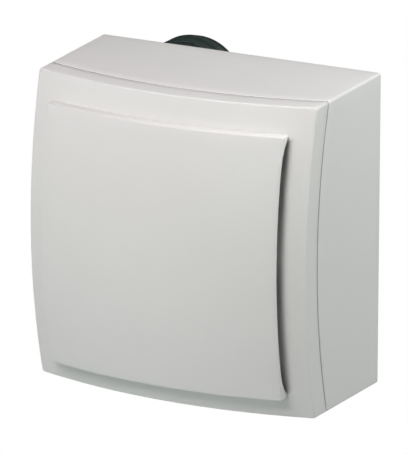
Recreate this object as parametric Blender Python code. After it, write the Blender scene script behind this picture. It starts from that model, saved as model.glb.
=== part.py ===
"""Wall-hung heat recovery ventilation unit.

A square white case hangs flat on a wall. Its domed front frame carries a raised panel, with a curved
air gap down each side. Inside, a foam shell holds a cross-flow heat exchanger, two axial fans, two
filters, a motor damper and the controls. Two duct spigots leave the back and go into the wall.

Frame: the origin is on the wall, in the middle of the case's back face. +X is to the right of
someone who faces the unit, +Y goes into the wall and +Z is up, so the front looks along -Y.
"""

import math

import bmesh
import bpy
from mathutils import Matrix, Vector

mm = 0.001

# ---------------------------------------------------------------- driving dimensions

# Case and front frame
case_width = 280 * mm  # across the front rim
case_height = 288 * mm
corner_depth = 122 * mm  # wall to the front rim, at a corner
bulge_across = 22 * mm  # how far the front rises between its left and right rims
bulge_upright = 20 * mm  # how far it rises between its top and bottom rims
draft = 0.02  # the sides spread by this much for each unit of depth, towards the wall
wall = 3 * mm
frame_rim = 22 * mm  # depth of the front frame's side band
seam_gap = 1.6 * mm  # open joint between the case and the front frame
gap = 0.3 * mm  # clearance between pieces that touch
seal_inset = 1.2 * mm  # how far the seam's seal lies below the outer faces
lip_thickness = 1.3 * mm  # the frame's locating lip, inside the case wall
lip_overlap = 4 * mm
lip_clearance = 0.5 * mm

# Raised front panel
band_side = 21.5 * mm  # front frame left showing beside the panel
band_top = 24 * mm
band_bottom = 20 * mm
panel_rise = 11.5 * mm
panel_wall = 2.5 * mm
panel_foot = 0.6 * mm  # clearance between the panel's walls and the frame
side_gap = 7 * mm  # the recess reaches this far beyond the panel's sides
arch_rim = 3 * mm  # panel edge left in front of the air gap
arch_margin = 5 * mm  # solid side wall at each end of the air gap
arch_power = 16  # how square the air gap's ends are
recess_depth = 10 * mm  # from the domed face to the floor behind the panel
recess_inset = 5 * mm  # the recess ends this far inside the panel's top and bottom edges
recess_reach = 20 * mm  # depth of the space that is cut out for the recess and its tray
stud_inset_side = 24 * mm  # snap studs, in from the panel's edges
stud_inset_end = 19 * mm
stud_radius = 2.4 * mm
stud_ball_radius = 3.1 * mm
socket_radius = 6 * mm
socket_depth = 5 * mm
boss_radius = 5 * mm
boss_height = 7.5 * mm
louvre_slot = 7.5 * mm
louvre_bar = 6.5 * mm
louvre_start = 9 * mm  # first slot, from the middle line
louvre_inset = 12 * mm
louvre_length = 48 * mm
rib_thickness = 2 * mm

# Foam shell
foam_clearance = 1.9 * mm  # foam to the inside of the case wall, at the front
foam_back = 10 * mm
foam_wall_side = 6.2 * mm
foam_wall_end = 4.7 * mm
cross_wall = 14 * mm  # walls between the four air chambers
lid_thickness = 10 * mm
lid_to_rim = 3.7 * mm  # foam lid's front face to the rim's corners

# Ducts
spigot_radius = 47 * mm
spigot_wall = 2.4 * mm
spigot_length = 76 * mm
spigot_flange = 3.5 * mm
flange_thickness = 2 * mm
spigot_edge = 6.2 * mm  # from the foam's side to the spigot
spigot_edge_top = 4.7 * mm
lip_height = 2.5 * mm  # rubber lips above the spigot
lip_places = (53.5 * mm, 66.5 * mm)
seal_start = 47.5 * mm
seal_end = 70 * mm
seal_skin = 0.9 * mm
flap_place = 20 * mm  # hinge pin of the back-draught flaps, behind the wall face
flap_clearance = 0.6 * mm
flap_thickness = 1.2 * mm
pin_radius = 1.5 * mm
knuckle_radius = 2.9 * mm

# Fans and damper, which share one housing size
housing_inset = 1 * mm  # housing ring inside the spigot's radius
housing_wall = 2.4 * mm
housing_length = 28 * mm
tip_clearance = 1 * mm
hub_radius = 14.5 * mm
blade_count = 7
blade_thickness = 1.3 * mm
shaft_radius = 1.5 * mm
core_to_housing = 11.6 * mm
inlet_flare = 3 * mm
mouth_skin = 0.6 * mm
strut_half = 2.2 * mm
strut_turn = math.radians(35)
mount_bore = 3.7 * mm
bearing_bore = 4.1 * mm  # radius of the motor's bore, which holds the bearings
stator_inset = 3.4 * mm  # motor inside the impeller's hub
hub_play = 0.8 * mm
blade_root = 0.8 * mm  # blades start this far inside the hub
blade_bow = 1.2 * mm
# Places along a fan's axis, from its outlet inwards
strut_span = (0.3 * mm, 3 * mm)
mount_span = (0.1 * mm, 3.4 * mm)
motor_span = (3.7 * mm, 17 * mm)
bearing_starts = {"outer": 4.2 * mm, "inner": 13 * mm}
bearing_length = 3.4 * mm
shaft_span = (3.9 * mm, 18.2 * mm)
hub_start = 4.4 * mm
cap_inside = 18.6 * mm
cap_outside = 22 * mm
blade_middle = 12.5 * mm
axle_past_housing = 8 * mm
damper_plate = 2 * mm
damper_motor_size = (24 * mm, 24 * mm, 20 * mm)  # along the axle, front to back, and across

# Heat exchanger
layer_count = 18
plate_thickness = 1.2 * mm
core_rail = 4 * mm
end_frame = 3 * mm
corner_seal = 3 * mm  # room for the corner seals, along the diagonal
seal_leg = 6.3 * mm

# Filters
cassette_thickness = 9 * mm
cassette_rim = 4 * mm
window_inset = 13 * mm  # extract window inside the housing radius
pleat_pitch = 7 * mm
media_skin = 1 * mm
filter_standoff = 2 * mm  # outdoor filter to the core's face
outdoor_filter_inset = 12 * mm  # shorter than half the core's face, at each end
window_extra = 5 * mm  # the extract window is this much taller than wide, each way

# Core's pull strap
strap_half = 30 * mm
strap_half_width = 7 * mm
strap_point = 4 * mm
strap_thickness = 2 * mm

# Condensate tray
tray_depth = 8 * mm
tray_skin = 1.4 * mm
spout_end = 1.5 * mm  # the spout stops this far from the wall

# Screws, holes and controls
post_radius = 4.6 * mm
post_to_core = 14 * mm
screw_radius = 2 * mm
screw_head_radius = 3.6 * mm
screw_bite = 14 * mm
keyhole_inset = 22 * mm
keyhole_height = 24 * mm
keyhole_radius = 4.5 * mm
keyhole_slot = 2.3 * mm
pocket_rise = 6 * mm  # pockets in the foam for the wall screws' heads
pocket_depth = 5 * mm
pocket_radius = 8 * mm
gland_inset = 32 * mm
gland_bore = 3.5 * mm
drain_radius = 4 * mm
control_half_width = 44 * mm
control_half_height = 26 * mm
control_depth = 22 * mm
control_wall = 2 * mm
cable_radius = 1.8 * mm
board_standoff = 4 * mm
board_thickness = 1.6 * mm
supply_height = 10 * mm
capacitor_radius = 5 * mm
capacitor_height = 11 * mm
terminal_height = 9 * mm
terminal_ways = 4
terminal_pitch = 6 * mm
terminal_well = 4 * mm
divider_half = 3 * mm
lead_drop = 34 * mm  # straight run of the exhaust fan's lead, down its chamber
gland_flange = 2.6 * mm
stud_foot_radius = 4.2 * mm
stud_foot = 1.5 * mm
stud_reach = 1.5 * mm  # stud tip past the recess floor
through = 0.02  # a cutter's reach past a thin wall

round_steps = 32  # sides of a duct-sized circle
small_steps = 20
dome_cells = 10  # cells of the domed surface, each way
recess_cuts = 24  # steps along the recess's sides
far = 0.4  # beyond every piece, for cutters

# ---------------------------------------------------------------- places worked out from those

half_w = case_width / 2
half_h = case_height / 2
foam_half_w = half_w - wall - foam_clearance + 0.1 * mm
foam_half_h = half_h - wall - foam_clearance + 0.1 * mm
chamber_w = foam_half_w - foam_wall_side
chamber_h = foam_half_h - foam_wall_end
cross = cross_wall / 2

spigot_x = foam_half_w - spigot_edge - spigot_radius
spigot_z = foam_half_h - spigot_edge_top - spigot_radius
housing_radius = spigot_radius - housing_inset
core_half = spigot_x + spigot_z - math.sqrt(2) * (housing_radius + core_to_housing)
core_side = core_half * math.sqrt(2)

foam_rear_y = -wall - gap
chamber_rear_y = foam_rear_y - foam_back
lid_front_y = -(corner_depth - lid_to_rim)
lid_rear_y = lid_front_y + lid_thickness
foam_front_y = lid_rear_y + gap

panel_half_w = half_w - band_side
panel_top = half_h - band_top
panel_bottom = -half_h + band_bottom
post_z = core_half + post_to_core
key_x = foam_half_w - keyhole_inset
gland_x = foam_half_w - gland_inset


def dome(x, z):
    """Depth of the front frame's domed outer face."""
    across = bulge_across * (1 - (x / half_w) ** 2)
    upright = bulge_upright * (1 - (z / half_h) ** 2)
    return -(corner_depth + across + upright)


def side_at(y):
    """How much the case has spread at depth y, compared with its front rim."""
    return draft * (corner_depth + y)


# ---------------------------------------------------------------- scene, materials and objects


def clear_scene():
    for obj in list(bpy.data.objects):
        bpy.data.objects.remove(obj)


def material(name, colour, roughness, metallic=0.0):
    made = bpy.data.materials.new(name)
    made.use_nodes = True
    shader = made.node_tree.nodes["Principled BSDF"]
    shader.inputs["Base Color"].default_value = (*colour, 1)
    shader.inputs["Roughness"].default_value = roughness
    shader.inputs["Metallic"].default_value = metallic
    made.diffuse_color = (*colour, 1)
    return made


def add(name, shape, look=None, smooth=True):
    """Turns a bmesh into a named object."""
    bmesh.ops.recalc_face_normals(shape, faces=shape.faces)
    mesh = bpy.data.meshes.new(name)
    shape.to_mesh(mesh)
    shape.free()
    if smooth:
        mesh.shade_smooth()
        mesh.set_sharp_from_angle(angle=math.radians(35))
    obj = bpy.data.objects.new(name, mesh)
    bpy.context.scene.collection.objects.link(obj)
    if look:
        mesh.materials.append(look)
    return obj


def helper(obj):
    """A cutter, or a piece that is joined to another: never a part itself."""
    obj.hide_render = True
    obj.display_type = "WIRE"
    return obj


def combine(target, other, operation):
    step = target.modifiers.new(other.name, "BOOLEAN")
    step.operation = operation
    step.object = helper(other)
    step.solver = "EXACT"
    return target


def cut(target, *others):
    for other in others:
        combine(target, other, "DIFFERENCE")
    return target


def join(target, *others):
    for other in others:
        combine(target, other, "UNION")
    return target


def hang(obj, place):
    """Moves an object's origin onto its hinge, and leaves its shape where it is."""
    obj.data.transform(Matrix.Translation(-Vector(place)))
    obj.location = place
    return obj


# ---------------------------------------------------------------- basic shapes


def add_box(shape, low, high):
    made = bmesh.ops.create_cube(shape, size=1)
    low, high = Vector(low), Vector(high)
    for vert in made["verts"]:
        share = vert.co + Vector((0.5, 0.5, 0.5))
        vert.co = Vector(a + (b - a) * s for a, b, s in zip(low, high, share))
    return made["verts"]


def box(name, low, high, look=None, turn=None):
    shape = bmesh.new()
    verts = add_box(shape, low, high)
    if turn:
        bmesh.ops.transform(shape, matrix=turn, verts=verts)
    return add(name, shape, look, smooth=False)


def boxes(name, pairs, look=None):
    shape = bmesh.new()
    for low, high in pairs:
        add_box(shape, low, high)
    return add(name, shape, look, smooth=False)


def loft(name, outlines, look=None, smooth=False):
    """Closed solid through outlines of equal length, each a list of points."""
    shape = bmesh.new()
    rings = [[shape.verts.new(point) for point in outline] for outline in outlines]
    for ring, after in zip(rings, rings[1:]):
        for i in range(len(ring)):
            j = (i + 1) % len(ring)
            shape.faces.new((ring[i], ring[j], after[j], after[i]))
    shape.faces.new(rings[0])
    shape.faces.new(rings[-1])
    return add(name, shape, look, smooth)


def rectangle(half_x, low_z, high_z, y):
    corners = ((-half_x, low_z), (half_x, low_z), (half_x, high_z), (-half_x, high_z))
    return [(x, y, z) for x, z in corners]


def prism(name, outline, y0, y1, look=None):
    """An outline of (x, z) points, drawn straight along Y."""
    return loft(name, [[(x, y, z) for x, z in outline] for y in (y0, y1)], look)


def circle(radius, steps, x=0.0, z=0.0):
    turns = [2 * math.pi * i / steps for i in range(steps)]
    return [(x + radius * math.cos(t), z + radius * math.sin(t)) for t in turns]


def rod(name, x, z, y0, y1, radius, look=None, steps=small_steps):
    return loft(
        name, [[(a, y, b) for a, b in circle(radius, steps, x, z)] for y in (y0, y1)], look, smooth=True
    )


def turned(name, profile, look=None, steps=round_steps, x=0.0, z=0.0):
    """A closed profile of (radius, y) points spun round a line along Y. All radii are above 0."""
    shape = bmesh.new()
    rings = []
    for radius, y in profile:
        rings.append([shape.verts.new((a, y, b)) for a, b in circle(radius, steps, x, z)])
    for ring, after in zip(rings, rings[1:] + rings[:1]):
        for i in range(steps):
            j = (i + 1) % steps
            shape.faces.new((ring[i], ring[j], after[j], after[i]))
    return add(name, shape, look)


def dome_block(name, offset, back):
    """All the space in front of the domed face moved by offset, or behind it if back is set."""
    reach_x, reach_z = half_w + 20 * mm, half_h + 20 * mm
    shape = bmesh.new()
    steps = range(dome_cells + 1)
    flat_y = far if back else -far
    grid = {}
    for i in steps:
        for j in steps:
            x = -reach_x + 2 * reach_x * i / dome_cells
            z = -reach_z + 2 * reach_z * j / dome_cells
            grid[i, j] = shape.verts.new((x, dome(x, z) + offset, z))
    for i in range(dome_cells):
        for j in range(dome_cells):
            shape.faces.new((grid[i, j], grid[i + 1, j], grid[i + 1, j + 1], grid[i, j + 1]))
    rim = [e for e in shape.edges if e.is_boundary]
    walls = bmesh.ops.extrude_edge_only(shape, edges=rim)["geom"]
    for vert in (v for v in walls if isinstance(v, bmesh.types.BMVert)):
        vert.co.y = flat_y
    bmesh.ops.holes_fill(shape, edges=[e for e in shape.edges if e.is_boundary])
    return add(name, shape)


def between_domes(obj, front, back):
    """Keeps what lies between the domed face moved by front and the one moved by back."""
    if front is not None:
        cut(obj, dome_block(obj.name + "_front_trim", front, back=False))
    if back is not None:
        cut(obj, dome_block(obj.name + "_back_trim", back, back=True))
    return obj


def case_block(name, inset, y0, y1):
    """Solid with the case's drafted sides, moved in by inset."""
    ends = []
    for y in (y0, y1):
        spread = side_at(y) - inset
        ends.append(rectangle(half_w + spread, -half_h - spread, half_h + spread, y))
    return loft(name, ends)


def diamond(half):
    return [(half, 0), (0, half), (-half, 0), (0, -half)]


# ---------------------------------------------------------------- case, frame and panel


def build_case(look):
    case = case_block("rear_case", 0, 0, -far)
    case.data.materials.append(look)
    between_domes(case, frame_rim + seam_gap / 2, None)
    cut(case, case_block("case_cavity", wall, -wall, -far - 0.1))
    for level in (1, -1):
        place = (-spigot_x, level * spigot_z, -through, through)
        cut(case, rod(f"case_duct_hole_{level}", *place, spigot_radius + gap, steps=round_steps))
    cut(case, rod("case_gland_hole", gland_x, 0, -through, through, gland_bore + 3 * mm))
    cut(case, rod("case_drain_hole", spigot_x, drain_z(), -through, through, drain_radius + gap))
    for side in (1, -1):
        for level in (1, -1):
            x, z = side * key_x, level * keyhole_height
            name = f"keyhole_{side}_{level}"
            cut(case, rod(name, x, z, -through, through, keyhole_radius))
            cut(case, prism(name + "_slot", slot_outline(x, z), -through, through))
    return case


def build_posts(look):
    """Two screw posts stand on the case's back wall and carry the front frame's screws."""
    tip = lid_front_y - gap
    bore_end = tip + screw_bite + 2 * mm
    for name, level in (("top", 1), ("bottom", -1)):
        z = level * post_z
        post = rod(f"case_post_{name}", 0, z, -wall - gap, tip, post_radius, look)
        cut(post, rod(f"case_post_{name}_bore", 0, z, bore_end, -far, screw_radius + gap))


def slot_outline(x, z):
    """The keyhole's narrow part: a round-topped slot that runs up from the entry hole."""
    top = z + keyhole_radius + 5 * mm
    arc = [math.pi * i / 6 for i in range(7)]
    points = [(x + keyhole_slot * math.cos(t), top + keyhole_slot * math.sin(t)) for t in arc]
    return points + [(x - keyhole_slot, z), (x + keyhole_slot, z)]


def recess_block(name, grow):
    """The space behind the panel. Its sides lean in at 45 degrees, at an even distance from the panel."""
    low, high = panel_bottom + recess_inset - grow, panel_top - recess_inset + grow
    crest = panel_half_w + side_gap + grow * math.sqrt(2)
    floor = crest - recess_reach
    sections = []
    for i in range(recess_cuts + 1):
        z = low + (high - low) * i / recess_cuts
        side = [(crest, -far), (crest, dome(crest, z)), (floor, dome(floor, z) + recess_reach)]
        points = side + [(-x, y) for x, y in reversed(side)]
        sections.append([(x, y, z) for x, y in points])
    return loft(name, sections)


def stud_places():
    x = panel_half_w - stud_inset_side
    for side in (-1, 1):
        for z in (panel_top - stud_inset_end, panel_bottom + stud_inset_end):
            yield side * x, z


def louvre_slots():
    """Air slots in the recess floor: four fields, one above and one below the divider on each side."""
    outer, inner = panel_half_w - louvre_inset, panel_half_w - louvre_inset - louvre_length
    pairs = []
    for level in (1, -1):
        z = louvre_start
        limit = (panel_top if level > 0 else -panel_bottom) - stud_inset_end - socket_radius - 3 * mm
        while z + louvre_slot < limit:
            low, high = sorted((level * z, level * (z + louvre_slot)))
            for x0, x1 in ((inner, outer), (-outer, -inner)):
                pairs.append(((x0, -far, low), (x1, -0.08, high)))
            z += louvre_slot + louvre_bar
    return pairs


def build_frame(look):
    frame = case_block("front_frame", 0, 0, -far)
    frame.data.materials.append(look)
    between_domes(frame, 0, frame_rim - seam_gap / 2)
    in_w, in_h = half_w - wall, half_h - wall
    hollow = box("frame_hollow", (-in_w, -far - 0.1, -in_h), (in_w, 0.1, in_h))
    cut(frame, between_domes(hollow, wall, None))
    lip_w, lip_h = in_w - lip_clearance, in_h - lip_clearance
    lip = box("frame_lip", (-lip_w, -far, -lip_h), (lip_w, 0, lip_h))
    bore_w, bore_h = lip_w - lip_thickness, lip_h - lip_thickness
    cut(lip, box("frame_lip_bore", (-bore_w, -far - 0.1, -bore_h), (bore_w, 0.1, bore_h)))
    between_domes(lip, wall / 2, frame_rim + lip_overlap)
    join(frame, lip)
    tray = recess_block("frame_tray", wall)
    join(frame, between_domes(tray, wall / 3, recess_depth + wall))
    recess = recess_block("frame_recess", 0)
    cut(frame, between_domes(recess, None, recess_depth))
    cut(frame, boxes("frame_louvres", louvre_slots()))
    for i, (x, z) in enumerate(stud_places()):
        floor = dome(x, z) + recess_depth
        join(frame, rod(f"socket_{i}", x, z, floor + wall / 2, floor - socket_depth, socket_radius))
        cut(frame, rod(f"socket_bore_{i}", x, z, floor + through, floor - through, stud_ball_radius + gap))
    for sign in (1, -1):
        floor = dome(0, post_z) + recess_depth
        z = sign * post_z
        boss_end = lid_front_y - 2 * gap
        join(frame, rod(f"screw_boss_{sign}", 0, z, floor + wall / 2, boss_end, post_radius + 1 * mm))
        cut(frame, rod(f"screw_bore_{sign}", 0, z, floor - through, 0, screw_radius + gap))
    return frame


def build_seam_seal(look):
    out_w = half_w - seal_inset
    out_h = half_h - seal_inset
    bore_w = half_w - wall - lip_clearance + gap
    bore_h = half_h - wall - lip_clearance + gap
    seal = box("seam_seal", (-out_w, -far, -out_h), (out_w, 0, out_h), look)
    cut(seal, box("seam_seal_bore", (-bore_w, -far - 0.1, -bore_h), (bore_w, 0.1, bore_h)))
    play = seam_gap / 2 - gap
    return between_domes(seal, frame_rim - play, frame_rim + play)


def arch_outline():
    """The side air gap, seen from the side: points (y, z) of a long flat arch."""
    low = panel_bottom + arch_margin
    high = panel_top - arch_margin
    middle, reach = (high + low) / 2, (high - low) / 2
    steps = 24
    points = []
    for i in range(steps + 1):
        share = math.cos(math.pi * i / steps)
        z = middle + reach * share
        front = dome(panel_half_w, z) - panel_rise + arch_rim
        depth = panel_rise - arch_rim - panel_foot
        points.append((front + depth * abs(share) ** arch_power, z))
    return points + [(-0.09, low), (-0.09, high)]


def build_panel(look):
    panel = loft("front_panel", [rectangle(panel_half_w, panel_bottom, panel_top, y) for y in (0, -far)])
    panel.data.materials.append(look)
    between_domes(panel, -panel_rise, -panel_foot)
    inside = [
        rectangle(panel_half_w - panel_wall, panel_bottom + panel_wall, panel_top - panel_wall, y)
        for y in (0.1, -far - 0.1)
    ]
    cut(panel, between_domes(loft("panel_hollow", inside), -panel_rise + panel_wall, None))
    for side in (1, -1):
        x0, x1 = side * (panel_half_w - panel_wall - 2 * mm), side * (panel_half_w + 5 * mm)
        sheets = [[(x, y, z) for y, z in arch_outline()] for x in (x0, x1)]
        cut(panel, loft(f"panel_arch_{side}", sheets))
    for i, (x, z) in enumerate(stud_places()):
        foot = dome(x, z) - panel_rise + boss_height
        boss = rod(f"panel_boss_{i}", x, z, foot, -far, boss_radius, steps=16)
        join(panel, between_domes(boss, -panel_rise + panel_wall / 2, None))
    reach = panel_half_w - louvre_inset
    rib = box("panel_rib", (-reach, -far, -rib_thickness / 2), (reach, 0, rib_thickness / 2))
    join(panel, between_domes(rib, -panel_rise + panel_wall / 2, recess_depth - 0.6 * mm))
    return panel


def build_studs(look):
    for i, (x, z) in enumerate(stud_places()):
        base = dome(x, z) - panel_rise + boss_height + gap
        tip = dome(x, z) + recess_depth + stud_reach
        foot, r, ball = stud_foot_radius, stud_radius, stud_ball_radius
        profile = [
            (foot, base), (foot, base + stud_foot), (r, base + stud_foot + gap), (r, tip - 5 * mm),
            (ball, tip - 3.4 * mm), (ball, tip - 1.6 * mm), (r * 0.6, tip),
        ]
        shape = [[(a, y, b) for a, b in circle(radius, 12, x, z)] for radius, y in profile]
        loft(f"panel_stud_{i + 1}", shape, look, smooth=True)


# ---------------------------------------------------------------- foam shell


def drain_z():
    return -chamber_h + drain_radius + tray_skin


def build_foam_shell(look):
    w, h = foam_half_w, foam_half_h
    shell = box("foam_shell", (-w, foam_front_y, -h), (w, foam_rear_y, h), look)
    cut(shell, prism("core_seat", diamond(core_half + corner_seal), chamber_rear_y, -far))
    for side in (1, -1):
        for level in (1, -1):
            xs = sorted((side * cross, side * chamber_w))
            zs = sorted((level * cross, level * chamber_h))
            room = box(f"chamber_{side}_{level}", (xs[0], -far, zs[0]), (xs[1], chamber_rear_y, zs[1]))
            cut(shell, room)
            place = (side * key_x, level * keyhole_height + pocket_rise, foam_rear_y - pocket_depth, through)
            cut(shell, rod(f"screw_pocket_{side}_{level}", *place, pocket_radius))
    for level in (1, -1):
        x, z = -spigot_x, level * spigot_z
        flange_rear = foam_rear_y - flange_thickness - 2 * gap
        bore, rebate = spigot_radius + gap, spigot_radius + spigot_flange + gap
        cut(shell, rod(f"foam_duct_{level}", x, z, -0.05, through, bore, steps=round_steps))
        cut(shell, rod(f"foam_rebate_{level}", x, z, flange_rear, through, rebate, steps=round_steps))
        cut(shell, rod(f"foam_post_hole_{level}", 0, level * post_z, -far, through, post_radius + gap))
    cut(shell, rod("foam_cable_hole", gland_x, 0, -far, through, gland_bore + 1 * mm))
    pocket_y = foam_rear_y - pocket_depth
    cut(shell, rod("foam_gland_pocket", gland_x, 0, pocket_y, through, gland_bore + gland_flange))
    cut(shell, rod("foam_drain_hole", spigot_x, drain_z(), -0.05, through, drain_radius + gap))
    return shell


def window_half():
    """Half width and half height of the extract opening in the foam lid."""
    half = housing_radius - window_inset
    return half, half + window_extra


def build_foam_lid(look):
    w, h = foam_half_w, foam_half_h
    lid = box("foam_lid", (-w, lid_front_y, -h), (w, lid_rear_y, h), look)
    cut(lid, rod("lid_fan_hole", spigot_x, spigot_z, -far, 0, housing_radius + gap, steps=round_steps))
    w, h = window_half()
    cut(lid, box("lid_window", (spigot_x - w, -far, -spigot_z - h), (spigot_x + w, 0, -spigot_z + h)))
    for level in (1, -1):
        cut(lid, rod(f"lid_post_hole_{level}", 0, level * post_z, -far, 0, post_radius + gap))
    cut(lid, rod("lid_cable_hole", gland_x, 0, -far, 0, gland_bore + 1 * mm))
    x, z = fan_lead_exit()
    cut(lid, rod("lid_lead_hole", x, z, -far, 0, cable_radius + 1 * mm))
    w, h = strap_half + 2 * mm, strap_half_width + 2 * mm
    cut(lid, box("lid_strap_pocket", (-w, lid_rear_y - 2 * strap_thickness, -h), (w, 0, h)))
    return lid


# ---------------------------------------------------------------- heat exchanger


def core_span():
    """Rear and front face of the plate stack."""
    rear = chamber_rear_y - 2 * gap - end_frame
    front = lid_rear_y + 2 * gap + end_frame
    return rear, front


def build_core(plate_look, frame_look, strap_look, rubber):
    rear, front = core_span()
    core = prism("exchanger_core", diamond(core_half), rear, front, plate_look)
    pitch = (rear - front) / layer_count
    channel = pitch - plate_thickness
    slots = bmesh.new()
    quarter = math.radians(45)
    half_len, half_wide = core_side, core_side / 2 - core_rail
    for i in range(layer_count):
        y = front + (i + 0.5) * pitch
        half = channel / 2
        verts = add_box(slots, (-half_len, y - half, -half_wide), (half_len, y + half, half_wide))
        turn = Matrix.Rotation(quarter if i % 2 else -quarter, 4, "Y")
        bmesh.ops.transform(slots, matrix=turn, verts=verts)
    cut(core, add("core_channels", slots, smooth=False))
    plate = end_frame - 0.1 * mm
    prism("core_end_frame_rear", diamond(core_half), rear + gap, rear + gap + plate, frame_look)
    prism("core_end_frame_front", diamond(core_half), front - gap, front - gap - plate, frame_look)
    strap_y = front - plate - 2 * gap
    w, h = strap_half - strap_point, strap_half_width
    strap = [(w, -h), (strap_half, 0), (w, h), (-w, h), (-strap_half, 0), (-w, -h)]
    prism("core_pull_strap", strap, strap_y, strap_y - strap_thickness, strap_look)
    outer, inner = core_half + corner_seal - gap, core_half + gap
    for i, name in enumerate(("right", "top", "left", "bottom")):
        chevron = [
            (outer, 0), (outer - seal_leg, seal_leg), (inner - seal_leg, seal_leg), (inner, 0),
            (inner - seal_leg, -seal_leg), (outer - seal_leg, -seal_leg),
        ]
        c, s = math.cos(math.pi / 2 * i), math.sin(math.pi / 2 * i)
        points = [(x * c - z * s, x * s + z * c) for x, z in chevron]
        prism(f"core_seal_{name}", points, chamber_rear_y - gap, foam_front_y, rubber)


# ---------------------------------------------------------------- fans and damper


def housing_ring(name, length, look):
    """A ring with a flared inlet, from y = 0 at its outlet to -length at its inlet."""
    r_out, r_in = housing_radius, housing_radius - housing_wall
    profile = [
        (r_in, 0), (r_out, 0), (r_out, -length), (r_out - mouth_skin, -length), (r_in, -length + inlet_flare),
    ]
    return turned(name, profile, look)


def build_fan(prefix, place, flow, looks):
    """An axial fan whose outlet lies at place and blows along flow, +1 for +Y and -1 for -Y."""
    shell_look, rotor_look, metal, steel = looks
    turn = Matrix.Identity(4) if flow > 0 else Matrix.Rotation(math.pi, 4, "Z")
    pieces = []

    housing = housing_ring(prefix + "_fan_housing", housing_length, shell_look)
    reach = housing_radius - housing_wall / 2
    struts = bmesh.new()
    for i in range(2):
        low, high = (-reach, -strut_span[1], -strut_half), (reach, -strut_span[0], strut_half)
        verts = add_box(struts, low, high)
        lean = Matrix.Rotation(strut_turn + math.pi / 2 * i, 4, "Y")
        bmesh.ops.transform(struts, matrix=lean, verts=verts)
    mount = rod(prefix + "_mount", 0, 0, -mount_span[1], -mount_span[0], hub_radius - 1 * mm)
    join(mount, add(prefix + "_struts", struts, smooth=False))
    join(housing, mount)
    cut(housing, rod(prefix + "_mount_bore", 0, 0, -through, through, mount_bore))
    pieces.append(housing)

    stator_out = hub_radius - stator_inset
    ends = [-y for y in motor_span]
    section = [(bearing_bore, ends[0]), (stator_out, ends[0]), (stator_out, ends[1]), (bearing_bore, ends[1])]
    pieces.append(turned(prefix + "_fan_motor", section, metal, steps=small_steps))
    race, eye = bearing_bore - gap, shaft_radius + gap
    for label, start in bearing_starts.items():
        near, away = -start, -start - bearing_length
        ring = [(eye, near), (race, near), (race, away), (eye, away)]
        pieces.append(turned(f"{prefix}_bearing_{label}", ring, steel, steps=16))
    start, end = [-y for y in shaft_span]
    pieces.append(rod(prefix + "_fan_shaft", 0, 0, start, end, shaft_radius, steel, steps=16))

    tip = housing_radius - housing_wall - tip_clearance
    hub_in, eye = stator_out + hub_play, shaft_radius - gap
    hub_profile = [
        (hub_in, -hub_start), (hub_radius, -hub_start), (hub_radius, -cap_outside + 2 * mm),
        (hub_radius - 2 * mm, -cap_outside), (eye, -cap_outside), (eye, -cap_inside), (hub_in, -cap_inside),
    ]
    impeller = turned(prefix + "_impeller", hub_profile, rotor_look, steps=24)
    join(impeller, add(prefix + "_blades", blades(tip), smooth=False))
    pieces.append(impeller)

    for piece in pieces:
        piece.matrix_world = Matrix.Translation(place) @ turn
    helpers = [o for o in bpy.data.objects if o.hide_render and o.name.startswith(prefix + "_")]
    for piece in helpers:
        piece.matrix_world = Matrix.Translation(place) @ turn
    return pieces


def blades(tip):
    """Twisted blades, each a thin lofted plate from the hub to the tip."""
    shape = bmesh.new()
    stations = 4
    root = hub_radius - blade_root
    for b in range(blade_count):
        start = 2 * math.pi * b / blade_count
        rings = []
        for i in range(stations):
            share = i / (stations - 1)
            radius = root + (tip - root) * share
            section = blade_section(radius, share, start)
            rings.append([shape.verts.new(point) for point in section])
        for ring, after in zip(rings, rings[1:]):
            for k in range(6):
                n = (k + 1) % 6
                shape.faces.new((ring[k], ring[n], after[n], after[k]))
        shape.faces.new(rings[0])
        shape.faces.new(rings[-1])
    bmesh.ops.triangulate(shape, faces=shape.faces)
    return shape


def blade_section(radius, share, start):
    """One section of a blade. The chord grows and flattens from the hub to the tip."""
    chord = (9 + 8 * share) * mm
    rise = (7.5 - 2.5 * share) * mm
    half = blade_thickness / 2
    points = []
    for along, skin in ((-1, -1), (0, -1), (1, -1), (1, 1), (0, 1), (-1, 1)):
        arc = along * chord / 2 / radius + 0.22 * share
        y = -blade_middle + along * rise + skin * half + (1 - along * along) * blade_bow
        # The plate is turned a little in the plane of the disc, so its skins stay parallel.
        turn = start + arc - skin * half / 2 / radius
        points.append((radius * math.cos(turn), y, radius * math.sin(turn)))
    return points


damper_tilt = math.radians(-29)  # the damper's axle leans towards the actuator in the chamber's corner


def build_damper(shell_look, disc_look, steel, box_look):
    """A round shutter in the outdoor-air chamber, turned by a small gear motor."""
    x, z = -spigot_x, -spigot_z
    outlet_y = chamber_rear_y - gap
    ring = housing_ring("damper_housing", housing_length, shell_look)
    ring.matrix_world = Matrix.Translation((x, outlet_y, z))
    axle_y = outlet_y - housing_length / 2
    spin = Matrix.Translation((x, axle_y, z)) @ Matrix.Rotation(-damper_tilt, 4, "Y")
    reach = housing_radius + axle_past_housing

    def lying_rod(name, x0, x1, radius, look=None):
        shape = [[(u, a, b) for a, b in circle(radius, 16)] for u in (x0, x1)]
        made = loft(name, shape, look, smooth=True)
        made.matrix_world = spin
        return made

    cut(ring, lying_rod("damper_bore", -reach, reach, screw_radius + gap))
    disc = lying_rod("damper_disc", -housing_radius + gap, reach, screw_radius, disc_look)
    half, radius = damper_plate / 2, housing_radius - housing_wall - tip_clearance
    plate = rod("damper_plate", 0, 0, -half, half, radius, steps=round_steps)
    plate.matrix_world = spin
    join(disc, plate)
    near = housing_radius + 2 * mm
    long, deep, wide = damper_motor_size
    motor = box("damper_motor", (near, -deep / 2, -wide / 2), (near + long, deep / 2, wide / 2), box_look)
    motor.matrix_world = spin
    cut(motor, lying_rod("damper_motor_bore", near - 2 * mm, reach + 1 * mm, screw_radius + gap))


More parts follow.
